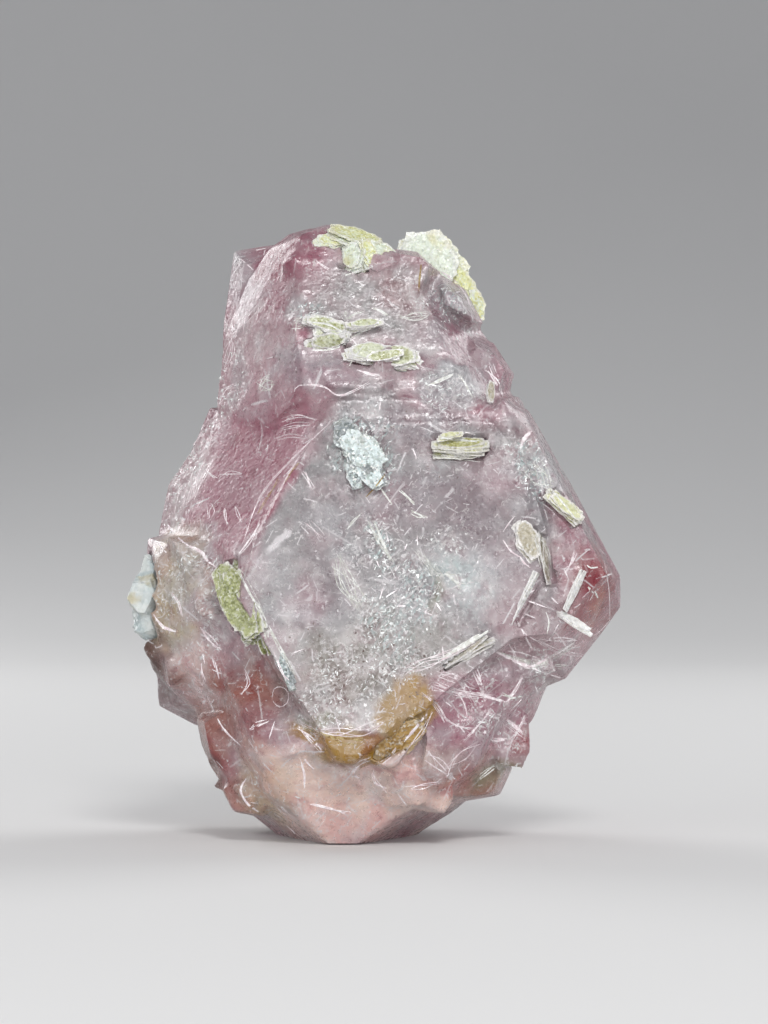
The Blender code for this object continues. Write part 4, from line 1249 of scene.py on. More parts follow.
class SheetStack:
    """Geometry Nodes that stack ragged mica sheets."""

    INPUTS = (
        ("Sheets", "NodeSocketInt", 8), ("Half Length", "NodeSocketFloat", 0.002),
        ("Half Width", "NodeSocketFloat", 0.001), ("Thickness", "NodeSocketFloat", 0.001),
        ("Ragged", "NodeSocketFloat", 0.0003), ("Slip", "NodeSocketFloat", 0.0002),
        ("Tilt", "NodeSocketFloat", 0.05), ("Curl", "NodeSocketFloat", 0.0),
        ("Detail", "NodeSocketInt", 2), ("Seed", "NodeSocketInt", 1),
        ("Finish", "NodeSocketMaterial", None),
    )

    def __init__(self) -> None:
        """Builds the tree once."""
        self.tree = bpy.data.node_groups.new("mica_sheets", "GeometryNodeTree")
        self.ids = {}
        for name, kind, value in self.INPUTS:
            socket = self.tree.interface.new_socket(name, in_out="INPUT", socket_type=kind)
            if value is not None:
                socket.default_value = value
            self.ids[name] = socket.identifier
        self.tree.interface.new_socket("Geometry", in_out="OUTPUT", socket_type="NodeSocketGeometry")
        self.wire()

    def wire(self) -> None:
        """Joins the nodes: a line of points, a sheet on each, ragged edges, thickness."""
        wires = Wiring(self.tree)
        given = wires.add("NodeGroupInput").outputs
        pitch = wires.math("DIVIDE", given["Thickness"], given["Sheets"])
        line = wires.add("GeometryNodeMeshLine", {
            "Count": given["Sheets"], "Offset": wires.xyz(z=pitch),
            "Start Location": wires.xyz(z=wires.times(given["Thickness"], -0.5))})
        slip = wires.xyz(given["Slip"], given["Slip"])
        back = wires.vector("MULTIPLY", slip, (-1.0, -1.0, 0.0))
        slide = wires.random(given["Seed"], back, slip)
        spread = wires.add("GeometryNodeSetPosition", {"Geometry": line.outputs[0], "Offset": slide})
        hexagon = wires.add("GeometryNodeMeshCircle", {"Vertices": 6, "Radius": 1.08}, fill_type="NGON")
        blunt = wires.add("GeometryNodeTransform", {
            "Geometry": hexagon.outputs[0], "Rotation": (0, 0, math.radians(30))})
        finer = wires.add("GeometryNodeSubdivideMesh", {"Mesh": blunt.outputs[0], "Level": given["Detail"]})
        outward = wires.measure("LENGTH", wires.add("GeometryNodeInputPosition").outputs[0])
        edged = wires.stored(finer.outputs[0], "border", outward, "POINT")
        size = wires.xyz(given["Half Length"], given["Half Width"], 1.0)
        sheet = wires.add("GeometryNodeTransform", {"Geometry": edged, "Scale": size})
        tilt = given["Tilt"]
        tilt_back = wires.times(tilt, -1.0)
        lean = wires.random(wires.math("ADD", given["Seed"], 11),
                            wires.xyz(tilt_back, tilt_back, -0.25), wires.xyz(tilt, tilt, 0.25))
        growth = wires.random(wires.math("ADD", given["Seed"], 23), (0.68, 0.66, 1.0), (1.08, 1.08, 1.0))
        turn = wires.add("FunctionNodeEulerToRotation", {0: lean})
        stack = wires.add("GeometryNodeInstanceOnPoints", {
            "Points": spread.outputs[0], "Instance": sheet.outputs[0],
            "Rotation": turn.outputs[0], "Scale": growth})
        number = wires.add("FunctionNodeRandomValue", {"Seed": wires.math("ADD", given["Seed"], 37)})
        numbered = wires.stored(stack.outputs[0], "sheet", number.outputs[1], "INSTANCE")
        real = wires.add("GeometryNodeRealizeInstances", {"Geometry": numbered})
        place = wires.add("GeometryNodeInputPosition").outputs[0]
        per_sheet = wires.vector("MULTIPLY", place, (2600.0, 2600.0, 9000.0))
        grain = wires.noise(per_sheet, 1.0, 3.0).outputs["Color"]
        offset = wires.vector("SUBTRACT", grain, GREY_MIDDLE)
        flat = wires.vector("MULTIPLY", offset, (1.0, 1.0, 0.12))
        jag = wires.scaled(flat, wires.times(given["Ragged"], 2.0))
        x = wires.add("ShaderNodeSeparateXYZ", {0: place}).outputs[0]
        bow = wires.times(wires.times(x, x), given["Curl"])
        bent = wires.vector("ADD", jag, wires.xyz(z=bow))
        moved = wires.add("GeometryNodeSetPosition", {"Geometry": real.outputs[0], "Offset": bent})
        ragged = moved.outputs[0]
        thick = wires.add("GeometryNodeExtrudeMesh", {
            "Mesh": ragged, "Offset Scale": wires.times(pitch, 0.93), "Individual": False}, mode="FACES")
        rimmed = wires.stored(thick.outputs["Mesh"], "rim", thick.outputs["Side"], "FACE")
        closed = wires.closed(ragged, rimmed, 1e-7)
        plain = wires.add("GeometryNodeRealizeInstances", {"Geometry": closed})
        dressed = wires.add("GeometryNodeSetMaterial", {
            "Geometry": plain.outputs[0], "Material": given["Finish"]})
        wires.add("NodeGroupOutput", {0: dressed.outputs[0]})

    def grow(self, book: MicaBook, finish: bpy.types.Material) -> bpy.types.Mesh:
        """Makes one book's mesh, in place.

        Args:
            book: The book.
            finish: Its material.

        Returns:
            The book as a plain mesh.
        """
        carrier = link("book", bpy.data.meshes.new("book"))
        modifier = carrier.modifiers.new("sheets", "NODES")
        modifier.node_group = self.tree
        values = {
            "Sheets": book.sheets, "Half Length": book.half_length * MM, "Half Width": book.half_width * MM,
            "Thickness": book.thickness * MM, "Ragged": min(0.35, book.half_width * 0.28) * MM,
            "Slip": book.half_width * 0.14 * MM, "Tilt": math.radians(book.tilt), "Curl": book.curl,
            "Detail": 4 if book.half_width > 0.9 else 3, "Seed": book.seed, "Finish": finish,
        }
        for name, value in values.items():
            modifier[self.ids[name]] = value
        mesh = settled(carrier)
        bpy.data.objects.remove(carrier)
        mesh.transform(book.placing())
        return mesh


@dataclass(frozen=True)
class SprayFinish(Finish):
    """Thin flakes and splinters in two clouded colours."""

    name: str
    colour: tuple[float, float, float]
    other: tuple[float, float, float]

    def wire(self, wires: Wiring, shader: bpy.types.Node, place: bpy.types.NodeSocket) -> None:
        """Joins this finish's patterns to the shader.

        Args:
            wires: Where the nodes go.
            shader: The Principled shader.
            place: The place in millimetres.
        """
        cloud = wires.noise(place, 3.4, 5.0).outputs[0]
        colour = wires.blend(wires.ramp(cloud, 0.4, 0.6), self.colour, self.other)
        wires.tree.links.new(colour, shader.inputs["Base Color"])
        wires.tree.links.new(wires.ramp(cloud, 0.3, 0.7, 0.12, 0.32), shader.inputs["Roughness"])
        shader.inputs["IOR"].default_value = MICA_IOR


@dataclass(frozen=True)
class Spray:
    """Many small flat splinters half sunk in the crystal, sizes in millimetres."""

    name: str
    slot: str
    finish: SprayFinish
    weights: tuple[float, float, float]
    per_square: float
    length: tuple[float, float]
    width: float
    thickness: float
    sink: float
    tilt: float
    seed: int

    def build(self, maker: "SprayMaker", body: bpy.types.Object) -> bpy.types.Object:
        """Makes the splinters on the crystal.

        Args:
            maker: The Geometry Nodes that scatter them.
            body: The finished crystal surface.

        Returns:
            The finished piece.
        """
        carrier = link("spray", body.data.copy())
        modifier = carrier.modifiers.new("spray", "NODES")
        modifier.node_group = maker.tree
        values = {
            "Weights": self.weights, "Density": self.per_square / MM**2, "Shortest": self.length[0] * MM,
            "Longest": self.length[1] * MM, "Width": self.width * MM, "Thickness": self.thickness * MM,
            "Sink": self.sink * MM, "Tilt": math.radians(self.tilt), "Seed": self.seed,
            "Finish": self.finish.build(),
        }
        for name, value in values.items():
            modifier[maker.ids[name]] = value
        mesh = settled(carrier)
        bpy.data.objects.remove(carrier)
        for name in ("tint", "marks"):
            if name in mesh.attributes:
                mesh.attributes.remove(mesh.attributes[name])
        mesh.shade_flat()
        piece = link(self.name, mesh)
        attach(piece, ROOT)
        return piece


class SprayMaker:
    """Geometry Nodes that lay splinters on a surface where its marks call for them."""

    INPUTS = (
        ("Geometry", "NodeSocketGeometry"), ("Weights", "NodeSocketVector"), ("Density", "NodeSocketFloat"),
        ("Shortest", "NodeSocketFloat"), ("Longest", "NodeSocketFloat"), ("Width", "NodeSocketFloat"),
        ("Thickness", "NodeSocketFloat"), ("Sink", "NodeSocketFloat"), ("Tilt", "NodeSocketFloat"),
        ("Seed", "NodeSocketInt"), ("Finish", "NodeSocketMaterial"),
    )
    least_mark = 0.25
    highest = 0.0465
    lowest = 0.0012

    def __init__(self) -> None:
        """Builds the tree once."""
        self.tree = bpy.data.node_groups.new("splinters", "GeometryNodeTree")
        self.ids = {}
        for name, kind in self.INPUTS:
            socket = self.tree.interface.new_socket(name, in_out="INPUT", socket_type=kind)
            self.ids[name] = socket.identifier
        self.tree.interface.new_socket("Geometry", in_out="OUTPUT", socket_type="NodeSocketGeometry")
        self.wire()

    def wire(self) -> None:
        """Joins the nodes: points by the marks, a splinter on each, turned at random."""
        wires = Wiring(self.tree)
        given = wires.add("NodeGroupInput").outputs
        marks = wires.add("GeometryNodeInputNamedAttribute", {"Name": "marks"}, data_type="FLOAT_COLOR")
        split = wires.add("FunctionNodeSeparateColor", {0: marks.outputs[0]})
        share = wires.measure("DOT_PRODUCT", wires.xyz(*split.outputs[:3]), given["Weights"])
        share = wires.math("SUBTRACT", share, self.least_mark)
        share = wires.math("MAXIMUM", share, 0.0)
        place = wires.add("GeometryNodeInputPosition").outputs[0]
        height = wires.add("ShaderNodeSeparateXYZ", {0: place}).outputs[2]
        share = wires.times(share, wires.math("LESS_THAN", height, self.highest))
        share = wires.times(share, wires.math("GREATER_THAN", height, self.lowest))
        points = wires.add("GeometryNodeDistributePointsOnFaces", {
            "Mesh": given["Geometry"], "Density": wires.times(share, given["Density"]),
            "Seed": given["Seed"]}, distribute_method="RANDOM")
        hexagon = wires.add("GeometryNodeMeshCircle", {"Vertices": 6, "Radius": 0.5}, fill_type="NGON")
        blade = hexagon.outputs[0]
        thick = wires.add("GeometryNodeExtrudeMesh", {
            "Mesh": blade, "Offset Scale": 1.0, "Individual": False}, mode="FACES")
        whole = wires.closed(blade, thick.outputs[0], 1e-6)
        centred = wires.add("GeometryNodeTransform", {"Geometry": whole, "Translation": (0.0, 0.0, -0.5)})
        tilt = given["Tilt"]
        tilt_back = wires.times(tilt, -1.0)
        spin = wires.random(wires.math("ADD", given["Seed"], 5),
                            wires.xyz(tilt_back, tilt_back), wires.xyz(tilt, tilt, math.tau))
        spin_turn = wires.add("FunctionNodeEulerToRotation", {0: spin})
        turn = wires.add("FunctionNodeRotateRotation", {
            0: points.outputs["Rotation"], 1: spin_turn.outputs[0]}, rotation_space="LOCAL")
        small = wires.xyz(given["Shortest"], wires.times(given["Width"], 0.4), given["Thickness"])
        large = wires.xyz(given["Longest"], given["Width"], given["Thickness"])
        scale = wires.random(wires.math("ADD", given["Seed"], 9), small, large)
        drop = wires.scaled(points.outputs["Normal"], wires.times(given["Sink"], -1.0))
        sunk = wires.add("GeometryNodeSetPosition", {"Geometry": points.outputs[0], "Offset": drop})
        stack = wires.add("GeometryNodeInstanceOnPoints", {
            "Points": sunk.outputs[0], "Instance": centred.outputs[0],
            "Rotation": turn.outputs[0], "Scale": scale})
        real = wires.add("GeometryNodeRealizeInstances", {"Geometry": stack.outputs[0]})
        dressed = wires.add("GeometryNodeSetMaterial", {
            "Geometry": real.outputs[0], "Material": given["Finish"]})
        wires.add("NodeGroupOutput", {0: dressed.outputs[0]})


SPRAYS = (
    Spray("apatite_splinters", "apatite",
          SprayFinish("splinters", linear(246, 241, 242), linear(232, 220, 223)),
          (0.0, 0.0, 1.0), 1.1, (0.5, 1.9), 0.13, 0.08, 0.03, 7, 5),
    Spray("mica_flakes", "mica_silver", SprayFinish("flakes", linear(240, 244, 242), linear(222, 226, 223)),
          (0.8, 0.9, 0.0), 7.5, (0.10, 0.5), 0.12, 0.05, 0.01, 22, 7),
)


class Strand(Enum):
    """What a line on the surface is made of: its piece's name and slot, and its finish."""

    CRACK = (
        "healed_cracks", "apatite", SprayFinish("healed_cracks", linear(250, 244, 245), linear(228, 212, 216)))
    BLADE = (
        "mica_blades", "mica_silver", SprayFinish("mica_blades", linear(242, 243, 239), linear(206, 206, 198)))
    BRONZE = (
        "stained_cracks", "mica_tan", SprayFinish("stained_cracks", linear(190, 172, 126), linear(138, 108, 60)))


@dataclass(frozen=True)
class Veil:
    """A healed crack or thin mica blade that reaches the surface as a line.

    Its places are those at which the camera sees it, in units of the 768 by 1024 frame; its
    width and its strands' spread are in millimetres.
    """

    kind: Strand
    places: tuple[tuple[float, float], ...]
    width: float = 0.16
    strands: int = 1
    spread: float = 0.0

    def line(self, dice: random.Random) -> list[Vector]:
        """One strand's course in the frame, from end to end.

        Args:
            dice: Random numbers for the strand's bends.

        Returns:
            Places in the frame, close together.
        """
        shift = [dice.uniform(-0.5, 0.5) * self.spread * FRAME_PER_MM for _ in self.places]
        across = (Vector(self.places[-1]) - Vector(self.places[0])).normalized()
        across = Vector((-across.y, across.x))
        knots = [Vector(place) + across * s for place, s in zip(self.places, shift, strict=True)]
        if self.strands > 1:
            knots[0] = knots[0].lerp(knots[1], dice.uniform(0.0, 0.3))
            knots[-1] = knots[-1].lerp(knots[-2], dice.uniform(0.0, 0.3))
        course = []
        for i in range(len(knots) - 1):
            before, after = knots[max(0, i - 1)], knots[min(len(knots) - 1, i + 2)]
            first, second = knots[i], knots[i + 1]
            steps = max(2, int((second - first).length / 3))
            for k in range(steps + (i == len(knots) - 2)):
                u = k / steps
                course.append(0.5 * (2 * first + (second - before) * u
                                     + (2 * before - 5 * first + 4 * second - after) * u * u
                                     + (3 * first - before - 3 * second + after) * u**3))
        return course


class VeilMaker:
    """Lays veils on the crystal where the camera sees them."""

    eye = Vector((0.0008, -0.300, 0.0254))
    lift = 0.00003

    def __init__(self, surface: BVHTree) -> None:
        """Keeps the crystal's surface."""
        self.surface = surface

    def seen(self, place: Vector) -> tuple[Vector, Vector] | None:
        """The surface point and normal that the camera sees at a place in the frame.

        Args:
            place: The place in the frame.

        Returns:
            The point and its normal, or None beside the specimen.
        """
        right = (place.x - FRAME_MIDDLE[0]) / FRAME_PER_METRE
        up = (FRAME_MIDDLE[1] - place.y) / FRAME_PER_METRE
        target = Vector((self.eye.x + right, 0.0, self.eye.z + up))
        hit, normal, _, _ = self.surface.ray_cast(self.eye, (target - self.eye).normalized())
        return None if hit is None else (hit, normal)

    def ribbon(self, mesh: bmesh.types.BMesh, points: list[tuple[Vector, Vector]], width: float,
               dice: random.Random) -> None:
        """Adds one thin closed blade through surface points.

        Args:
            mesh: The mesh to add to.
            points: Places on the surface with their normals.
            width: The blade's full width in metres.
            dice: Random numbers for its ragged edge.
        """
        if len(points) < 3:
            return
        rings = []
        for i, (place, normal) in enumerate(points):
            ahead = points[min(i + 1, len(points) - 1)][0] - points[max(i - 1, 0)][0]
            across = ahead.cross(normal).normalized()
            taper = math.sin(math.pi * (i + 0.5) / len(points)) ** 0.5
            half = across * width * 0.5 * taper * dice.uniform(0.7, 1.2)
            up = normal * self.lift * taper
            corners = (place - half, place + up, place + half, place - 2 * up)
            rings.append([mesh.verts.new(corner) for corner in corners])
        for low, high in zip(rings, rings[1:], strict=False):
            for k in range(4):
                mesh.faces.new((low[k], low[(k + 1) % 4], high[(k + 1) % 4], high[k]))
        mesh.faces.new(rings[0][::-1])
        mesh.faces.new(rings[-1])

    def build(self, kind: Strand, veils: tuple[Veil, ...]) -> bpy.types.Object:
        """Makes one kind of veil as one piece.

        Args:
            kind: Which kind.
            veils: All veils.

        Returns:
            The finished piece.
        """
        name, slot, finish = kind.value
        dice = random.Random(name)
        mesh_data = bmesh.new()
        for veil in veils:
            width = veil.width * MM * (0.5 if veil.strands > 3 else 0.9)
            for _ in range(veil.strands if veil.kind is kind else 0):
                run = []
                for place in veil.line(dice):
                    found = self.seen(place)
                    if found is None or (run and (found[0] - run[-1][0]).length > 0.0009):
                        self.ribbon(mesh_data, run, width * dice.uniform(0.7, 1.1), dice)
                        run = []
                    if found is not None:
                        run.append(found)
                self.ribbon(mesh_data, run, width * dice.uniform(0.7, 1.1), dice)
        bmesh.ops.recalc_face_normals(mesh_data, faces=mesh_data.faces)
        mesh = bpy.data.meshes.new(name)
        mesh_data.to_mesh(mesh)
        mesh_data.free()
        mesh.materials.append(finish.build())
        mesh.shade_flat()
        piece = link(name, mesh)
        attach(piece, ROOT)
        return piece


CRACK, BLADE, BRONZE = Strand
VEILS = (
    # lower right: crossing splinters
    Veil(CRACK, ((513, 617), (525, 632), (539, 641)), 0.10, 2, 0.3),
    Veil(CRACK, ((539, 641), (558, 640), (579, 642)), 0.16, 2, 0.4),
    Veil(CRACK, ((528, 668), (550, 658), (574, 643)), 0.34),
    Veil(CRACK, ((495, 651), (524, 665), (560, 678)), 0.36),
    Veil(CRACK, ((508, 651), (522, 653), (538, 658)), 0.14),
    Veil(CRACK, ((521, 628), (528, 640), (534, 653)), 0.12, 2, 0.3),
    Veil(CRACK, ((434, 676), (454, 679), (478, 694)), 0.12, 7, 0.9),
    Veil(CRACK, ((432, 688), (456, 691), (486, 698)), 0.12, 5, 0.7),
    Veil(CRACK, ((474, 690), (490, 697), (508, 701)), 0.22, 3, 0.5),
    Veil(BLADE, ((508, 700), (522, 697), (537, 703)), 0.30, 2, 0.2),
    Veil(CRACK, ((509, 698), (515, 688), (523, 678)), 0.16),
    Veil(CRACK, ((494, 715), (509, 723), (524, 737)), 0.16, 3, 0.5),
    Veil(CRACK, ((482, 731), (494, 738), (508, 739)), 0.14, 3, 0.6),
    Veil(CRACK, ((472, 664), (479, 677), (484, 690)), 0.14, 3, 0.5),
    Veil(CRACK, ((457, 690), (463, 703), (468, 717)), 0.10, 2, 0.3),
    Veil(CRACK, ((427, 713), (416, 727), (403, 742)), 0.30, 2, 0.2),
    Veil(CRACK, ((399, 747), (390, 756), (380, 765)), 0.14, 2, 0.4),
    Veil(CRACK, ((505, 640), (513, 652), (517, 664)), 0.10, 2, 0.3),
    Veil(BLADE, ((546, 612), (549, 622), (547, 634)), 0.16),
    # broad blades there, each of several strands
    Veil(BLADE, ((494, 652), (530, 662), (572, 668)), 0.14, 5, 0.5),
    Veil(BLADE, ((528, 671), (554, 657), (580, 641)), 0.14, 5, 0.4),
    Veil(CRACK, ((432, 682), (460, 692), (498, 698)), 0.14, 5, 0.4),
    Veil(BLADE, ((500, 694), (520, 700), (538, 704)), 0.14, 5, 0.4),
    Veil(CRACK, ((470, 668), (480, 684), (486, 700)), 0.12, 4, 0.3),
    Veil(CRACK, ((452, 672), (466, 690), (474, 704)), 0.12, 4, 0.3),
    Veil(CRACK, ((486, 712), (504, 722), (526, 738)), 0.12, 4, 0.4),
    Veil(CRACK, ((404, 754), (421, 733), (433, 708)), 0.12, 4, 0.4),
    Veil(CRACK, ((505, 706), (516, 690), (524, 672)), 0.12, 4, 0.3),
    Veil(CRACK, ((440, 716), (458, 726), (480, 730)), 0.12, 4, 0.3),
    Veil(CRACK, ((536, 640), (560, 652), (586, 656)), 0.12, 4, 0.4),
    Veil(CRACK, ((552, 628), (566, 646), (574, 664)), 0.12, 4, 0.3),
    Veil(CRACK, ((420, 692), (436, 706), (448, 726)), 0.12, 4, 0.4),
    Veil(CRACK, ((462, 742), (480, 726), (494, 706)), 0.12, 4, 0.4),
    Veil(CRACK, ((512, 742), (522, 722), (528, 708)), 0.12, 4, 0.3),
    # mica edges
    Veil(BLADE, ((310, 322), (330, 325), (352, 338)), 0.24),
    Veil(BLADE, ((312, 350), (333, 349), (352, 340)), 0.20),
    Veil(BLADE, ((352, 337), (366, 330), (379, 325)), 0.20),
    Veil(BLADE, ((236, 566), (250, 590), (262, 614)), 0.16, 5, 0.6),
    Veil(BLADE, ((256, 600), (264, 622), (268, 642)), 0.16, 5, 0.6),
    Veil(BLADE, ((266, 622), (280, 650), (296, 679)), 0.20, 4, 0.35),
    Veil(BLADE, ((434, 437), (458, 440), (484, 442)), 0.20, 2, 0.2),
    Veil(BLADE, ((432, 457), (456, 459), (482, 462)), 0.14),
    Veil(BLADE, ((441, 659), (462, 646), (486, 631)), 0.24, 2, 0.2),
    # right edge and red facet
    Veil(CRACK, ((604, 560), (609, 590), (610, 620)), 0.14),
    Veil(CRACK, ((610, 620), (600, 631), (586, 640)), 0.14),
    Veil(BLADE, ((587, 565), (591, 568), (598, 567)), 0.20),
    Veil(BLADE, ((588, 586), (594, 592), (598, 600)), 0.18, 2, 0.3),
    Veil(CRACK, ((540, 428), (562, 467), (588, 512), (612, 562)), 0.12, 2, 0.2),
    Veil(CRACK, ((519, 449), (525, 439), (532, 430)), 0.34, 2, 0.2),
    Veil(BLADE, ((527, 464), (541, 476), (554, 490)), 0.14, 9, 2.0),
    Veil(BLADE, ((551, 489), (564, 504), (578, 522)), 0.16),
    Veil(CRACK, ((503, 532), (509, 523), (515, 516)), 0.14),
    Veil(BLADE, ((536, 530), (543, 550), (549, 572)), 0.12, 6, 1.0),
    Veil(CRACK, ((519, 556), (525, 562), (530, 568)), 0.12, 2, 0.3),
    Veil(CRACK, ((503, 540), (511, 551), (520, 557)), 0.14),
    Veil(CRACK, ((577, 548), (570, 562), (562, 574)), 0.10, 3, 0.6),
    # the flat end
    Veil(BLADE, ((369, 520), (380, 541), (391, 565)), 0.14, 8, 0.7),
    Veil(BLADE, ((415, 548), (425, 563), (436, 578)), 0.12, 4, 0.5),
    Veil(BLADE, ((421, 552), (433, 567), (446, 581)), 0.10, 4, 0.4),
    Veil(BLADE, ((445, 571), (453, 579), (463, 588)), 0.14, 6, 0.9),
    Veil(BLADE, ((377, 484), (385, 494), (393, 505)), 0.14, 2, 0.2),
    Veil(BLADE, ((398, 489), (407, 497), (416, 505)), 0.14, 2, 0.3),
    Veil(BLADE, ((410, 512), (418, 516), (427, 518)), 0.12, 3, 0.4),
    Veil(BRONZE, ((385, 474), (376, 486), (366, 497)), 0.14),
    Veil(BLADE, ((347, 530), (354, 521), (362, 512)), 0.10, 2, 0.2),
    Veil(BLADE, ((332, 556), (348, 583), (367, 610)), 0.12, 12, 1.8),
    Veil(CRACK, ((304, 470), (308, 479), (312, 490)), 0.12, 3, 0.6),
    Veil(CRACK, ((305, 521), (314, 530), (324, 540)), 0.12, 4, 0.8),
    Veil(CRACK, ((402, 672), (425, 664), (450, 654), (480, 636)), 0.16, 7, 0.9),
    Veil(BLADE, ((441, 659), (466, 645), (492, 629)), 0.24, 2, 0.2),
    Veil(CRACK, ((298, 719), (315, 729), (338, 733), (364, 730), (388, 718)), 0.16, 4, 0.9),
    Veil(BRONZE, ((301, 724), (320, 735), (345, 741), (372, 741)), 0.20, 4, 0.5),
    # its upper left edge
    Veil(CRACK, ((338, 416), (300, 452), (262, 494), (240, 552)), 0.10, 2, 0.15),
    Veil(CRACK, ((238, 557), (250, 539), (262, 520)), 0.18, 3, 0.35),
    Veil(BRONZE, ((255, 517), (267, 498), (279, 478)), 0.06, 2, 0.3),
    Veil(BRONZE, ((284, 484), (292, 472), (300, 461)), 0.06, 2, 0.2),
    # left shoulder
    Veil(CRACK, ((276, 422), (297, 416), (319, 420)), 0.10, 4, 0.6),
    Veil(CRACK, ((278, 430), (296, 424), (312, 423)), 0.08, 3, 0.5),
    Veil(CRACK, ((272, 440), (290, 436), (305, 437)), 0.08, 2, 0.4),
    Veil(CRACK, ((218, 477), (230, 473), (243, 475)), 0.10, 2, 0.4),
    Veil(CRACK, ((204, 470), (210, 475), (217, 479)), 0.10, 2, 0.3),
    Veil(CRACK, ((224, 508), (225, 516), (227, 526)), 0.14, 2, 0.3),
    Veil(CRACK, ((211, 503), (211, 511), (212, 519)), 0.10, 3, 0.7),
    Veil(CRACK, ((236, 505), (238, 515), (241, 524)), 0.10, 2, 0.4),
    Veil(CRACK, ((190, 500), (197, 478), (208, 455)), 0.08, 5, 1.4),
    Veil(CRACK, ((176, 520), (183, 500), (190, 482)), 0.08, 4, 1.0),
    # left bulge
    Veil(CRACK, ((167, 525), (183, 543), (201, 552), (207, 560), (220, 569)), 0.22, 3, 0.3),
    Veil(CRACK, ((157, 541), (162, 548), (167, 553)), 0.16, 2, 0.2),
    Veil(CRACK, ((149, 597), (153, 611), (162, 626), (176, 632)), 0.16, 2, 0.25),
    Veil(CRACK, ((172, 592), (178, 603), (182, 618)), 0.12, 2, 0.4),
    Veil(CRACK, ((199, 627), (210, 638), (222, 650)), 0.14, 3, 0.5),
    Veil(CRACK, ((215, 662), (217, 670), (219, 679)), 0.22),
    Veil(CRACK, ((200, 660), (202, 672), (206, 684)), 0.12, 2, 0.3),
    # under the left end
    Veil(CRACK, ((207, 696), (213, 709), (221, 725), (230, 736), (241, 746)), 0.18),
    Veil(CRACK, ((273, 652), (280, 668), (287, 682)), 0.12, 3, 0.6),
    Veil(CRACK, ((298, 726), (310, 740), (323, 754)), 0.14, 3, 0.5),
    Veil(CRACK, ((304, 758), (309, 765), (315, 771)), 0.12, 2, 0.2),
    Veil(CRACK, ((247, 730), (257, 724), (269, 719)), 0.12, 3, 0.5),
    Veil(CRACK, ((240, 695), (248, 683), (243, 668)), 0.10, 2, 0.4),
    Veil(CRACK, ((272, 700), (274, 689), (281, 687), (288, 692), (287, 703), (279, 707), (272, 700)),
         0.10, 2, 0.1),
    Veil(CRACK, ((247, 776), (241, 790), (247, 803), (259, 812)), 0.22, 2, 0.2),
    Veil(CRACK, ((300, 757), (304, 774), (304, 792)), 0.12, 2, 0.2),
    # the bottom
    Veil(CRACK, ((420, 752), (440, 765), (455, 782)), 0.10, 3, 1.0),
    Veil(CRACK, ((352, 775), (358, 763), (372, 757)), 0.12, 3, 0.6),
    Veil(CRACK, ((372, 770), (376, 782), (389, 792)), 0.10, 3, 0.6),
    Veil(CRACK, ((310, 800), (330, 806), (352, 812)), 0.12, 3, 0.8),
    Veil(CRACK, ((405, 790), (425, 787), (448, 778)), 0.10, 3, 0.8),
    Veil(CRACK, ((446, 770), (464, 757), (484, 742)), 0.10, 4, 1.2),
    Veil(BLADE, ((500, 762), (489, 770), (478, 778)), 0.16, 3, 0.4),
    # the upper crystal
    Veil(CRACK, ((241, 259), (250, 267), (258, 274)), 0.16),
    Veil(CRACK, ((258, 274), (262, 262), (265, 250)), 0.16),
    Veil(CRACK, ((262, 300), (250, 318), (240, 338)), 0.08, 4, 1.2),
    Veil(BLADE, ((341, 276), (358, 271), (376, 266)), 0.20, 2, 0.2),
    Veil(CRACK, ((314, 261), (322, 265), (331, 271)), 0.12, 2, 0.3),
    Veil(BLADE, ((343, 325), (345, 317), (347, 310)), 0.12, 2, 0.2),
    Veil(BLADE, ((347, 319), (355, 314), (364, 312)), 0.14, 2, 0.2),
    Veil(BLADE, ((371, 308), (380, 311), (388, 316)), 0.16, 2, 0.2),
    Veil(BLADE, ((396, 317), (415, 317), (436, 312)), 0.14, 6, 0.7),
    Veil(BRONZE, ((421, 262), (420, 277), (418, 292)), 0.10, 2, 0.15),
    Veil(CRACK, ((425, 267), (447, 276), (464, 291), (473, 312)), 0.10, 2, 0.2),
    Veil(BLADE, ((349, 366), (356, 355), (363, 346)), 0.12),
    Veil(CRACK, ((357, 369), (367, 373), (380, 376)), 0.18, 2, 0.2),
    Veil(BLADE, ((425, 388), (440, 379), (455, 372)), 0.16, 3, 0.4),
    Veil(BLADE, ((455, 372), (464, 384), (474, 398)), 0.14, 2, 0.2),
    Veil(CRACK, ((486, 366), (496, 382), (505, 398)), 0.14, 3, 0.6),
    Veil(CRACK, ((294, 393), (299, 386), (322, 386), (341, 396), (378, 379)), 0.12, 2, 0.2),
    Veil(BLADE, ((257, 388), (266, 383), (274, 379)), 0.16, 7, 1.3),
    Veil(BLADE, ((292, 330), (300, 323), (308, 318)), 0.16, 6, 1.0),
    Veil(CRACK, ((216, 400), (228, 392), (240, 388)), 0.14, 5, 1.2),
    Veil(CRACK, ((232, 330), (228, 350), (225, 372)), 0.08, 5, 1.2),
)


PALE = MicaFinish(
    "mica_pale", linear(230, 240, 220), linear(222, 222, 150), linear(206, 190, 110), 0.45)
CREAM = MicaFinish(
    "mica_cream", linear(226, 226, 178), linear(178, 176, 106), linear(150, 138, 84), 0.4, 0.3, 0.8)
MINT = MicaFinish(
    "mica_mint", linear(222, 226, 196), linear(164, 166, 108), linear(140, 136, 78), 0.4, 0.3, 0.95)
GREEN = MicaFinish(
    "mica_green", linear(176, 180, 130), linear(104, 110, 48), linear(84, 78, 36),
    0.5, 0.3, 0.95, border=0.9)
SILVER = MicaFinish(
    "mica_silver", linear(214, 228, 226), linear(126, 134, 136), linear(172, 170, 162),
    0.4, 0.3, 0.2, 1.0, 0.9, (0.34, 0.62))
NEEDLE = MicaFinish(
    "mica_white", linear(248, 248, 243), linear(226, 226, 217), linear(206, 190, 176), 0.25, 0.3, 0.6, 0.15)
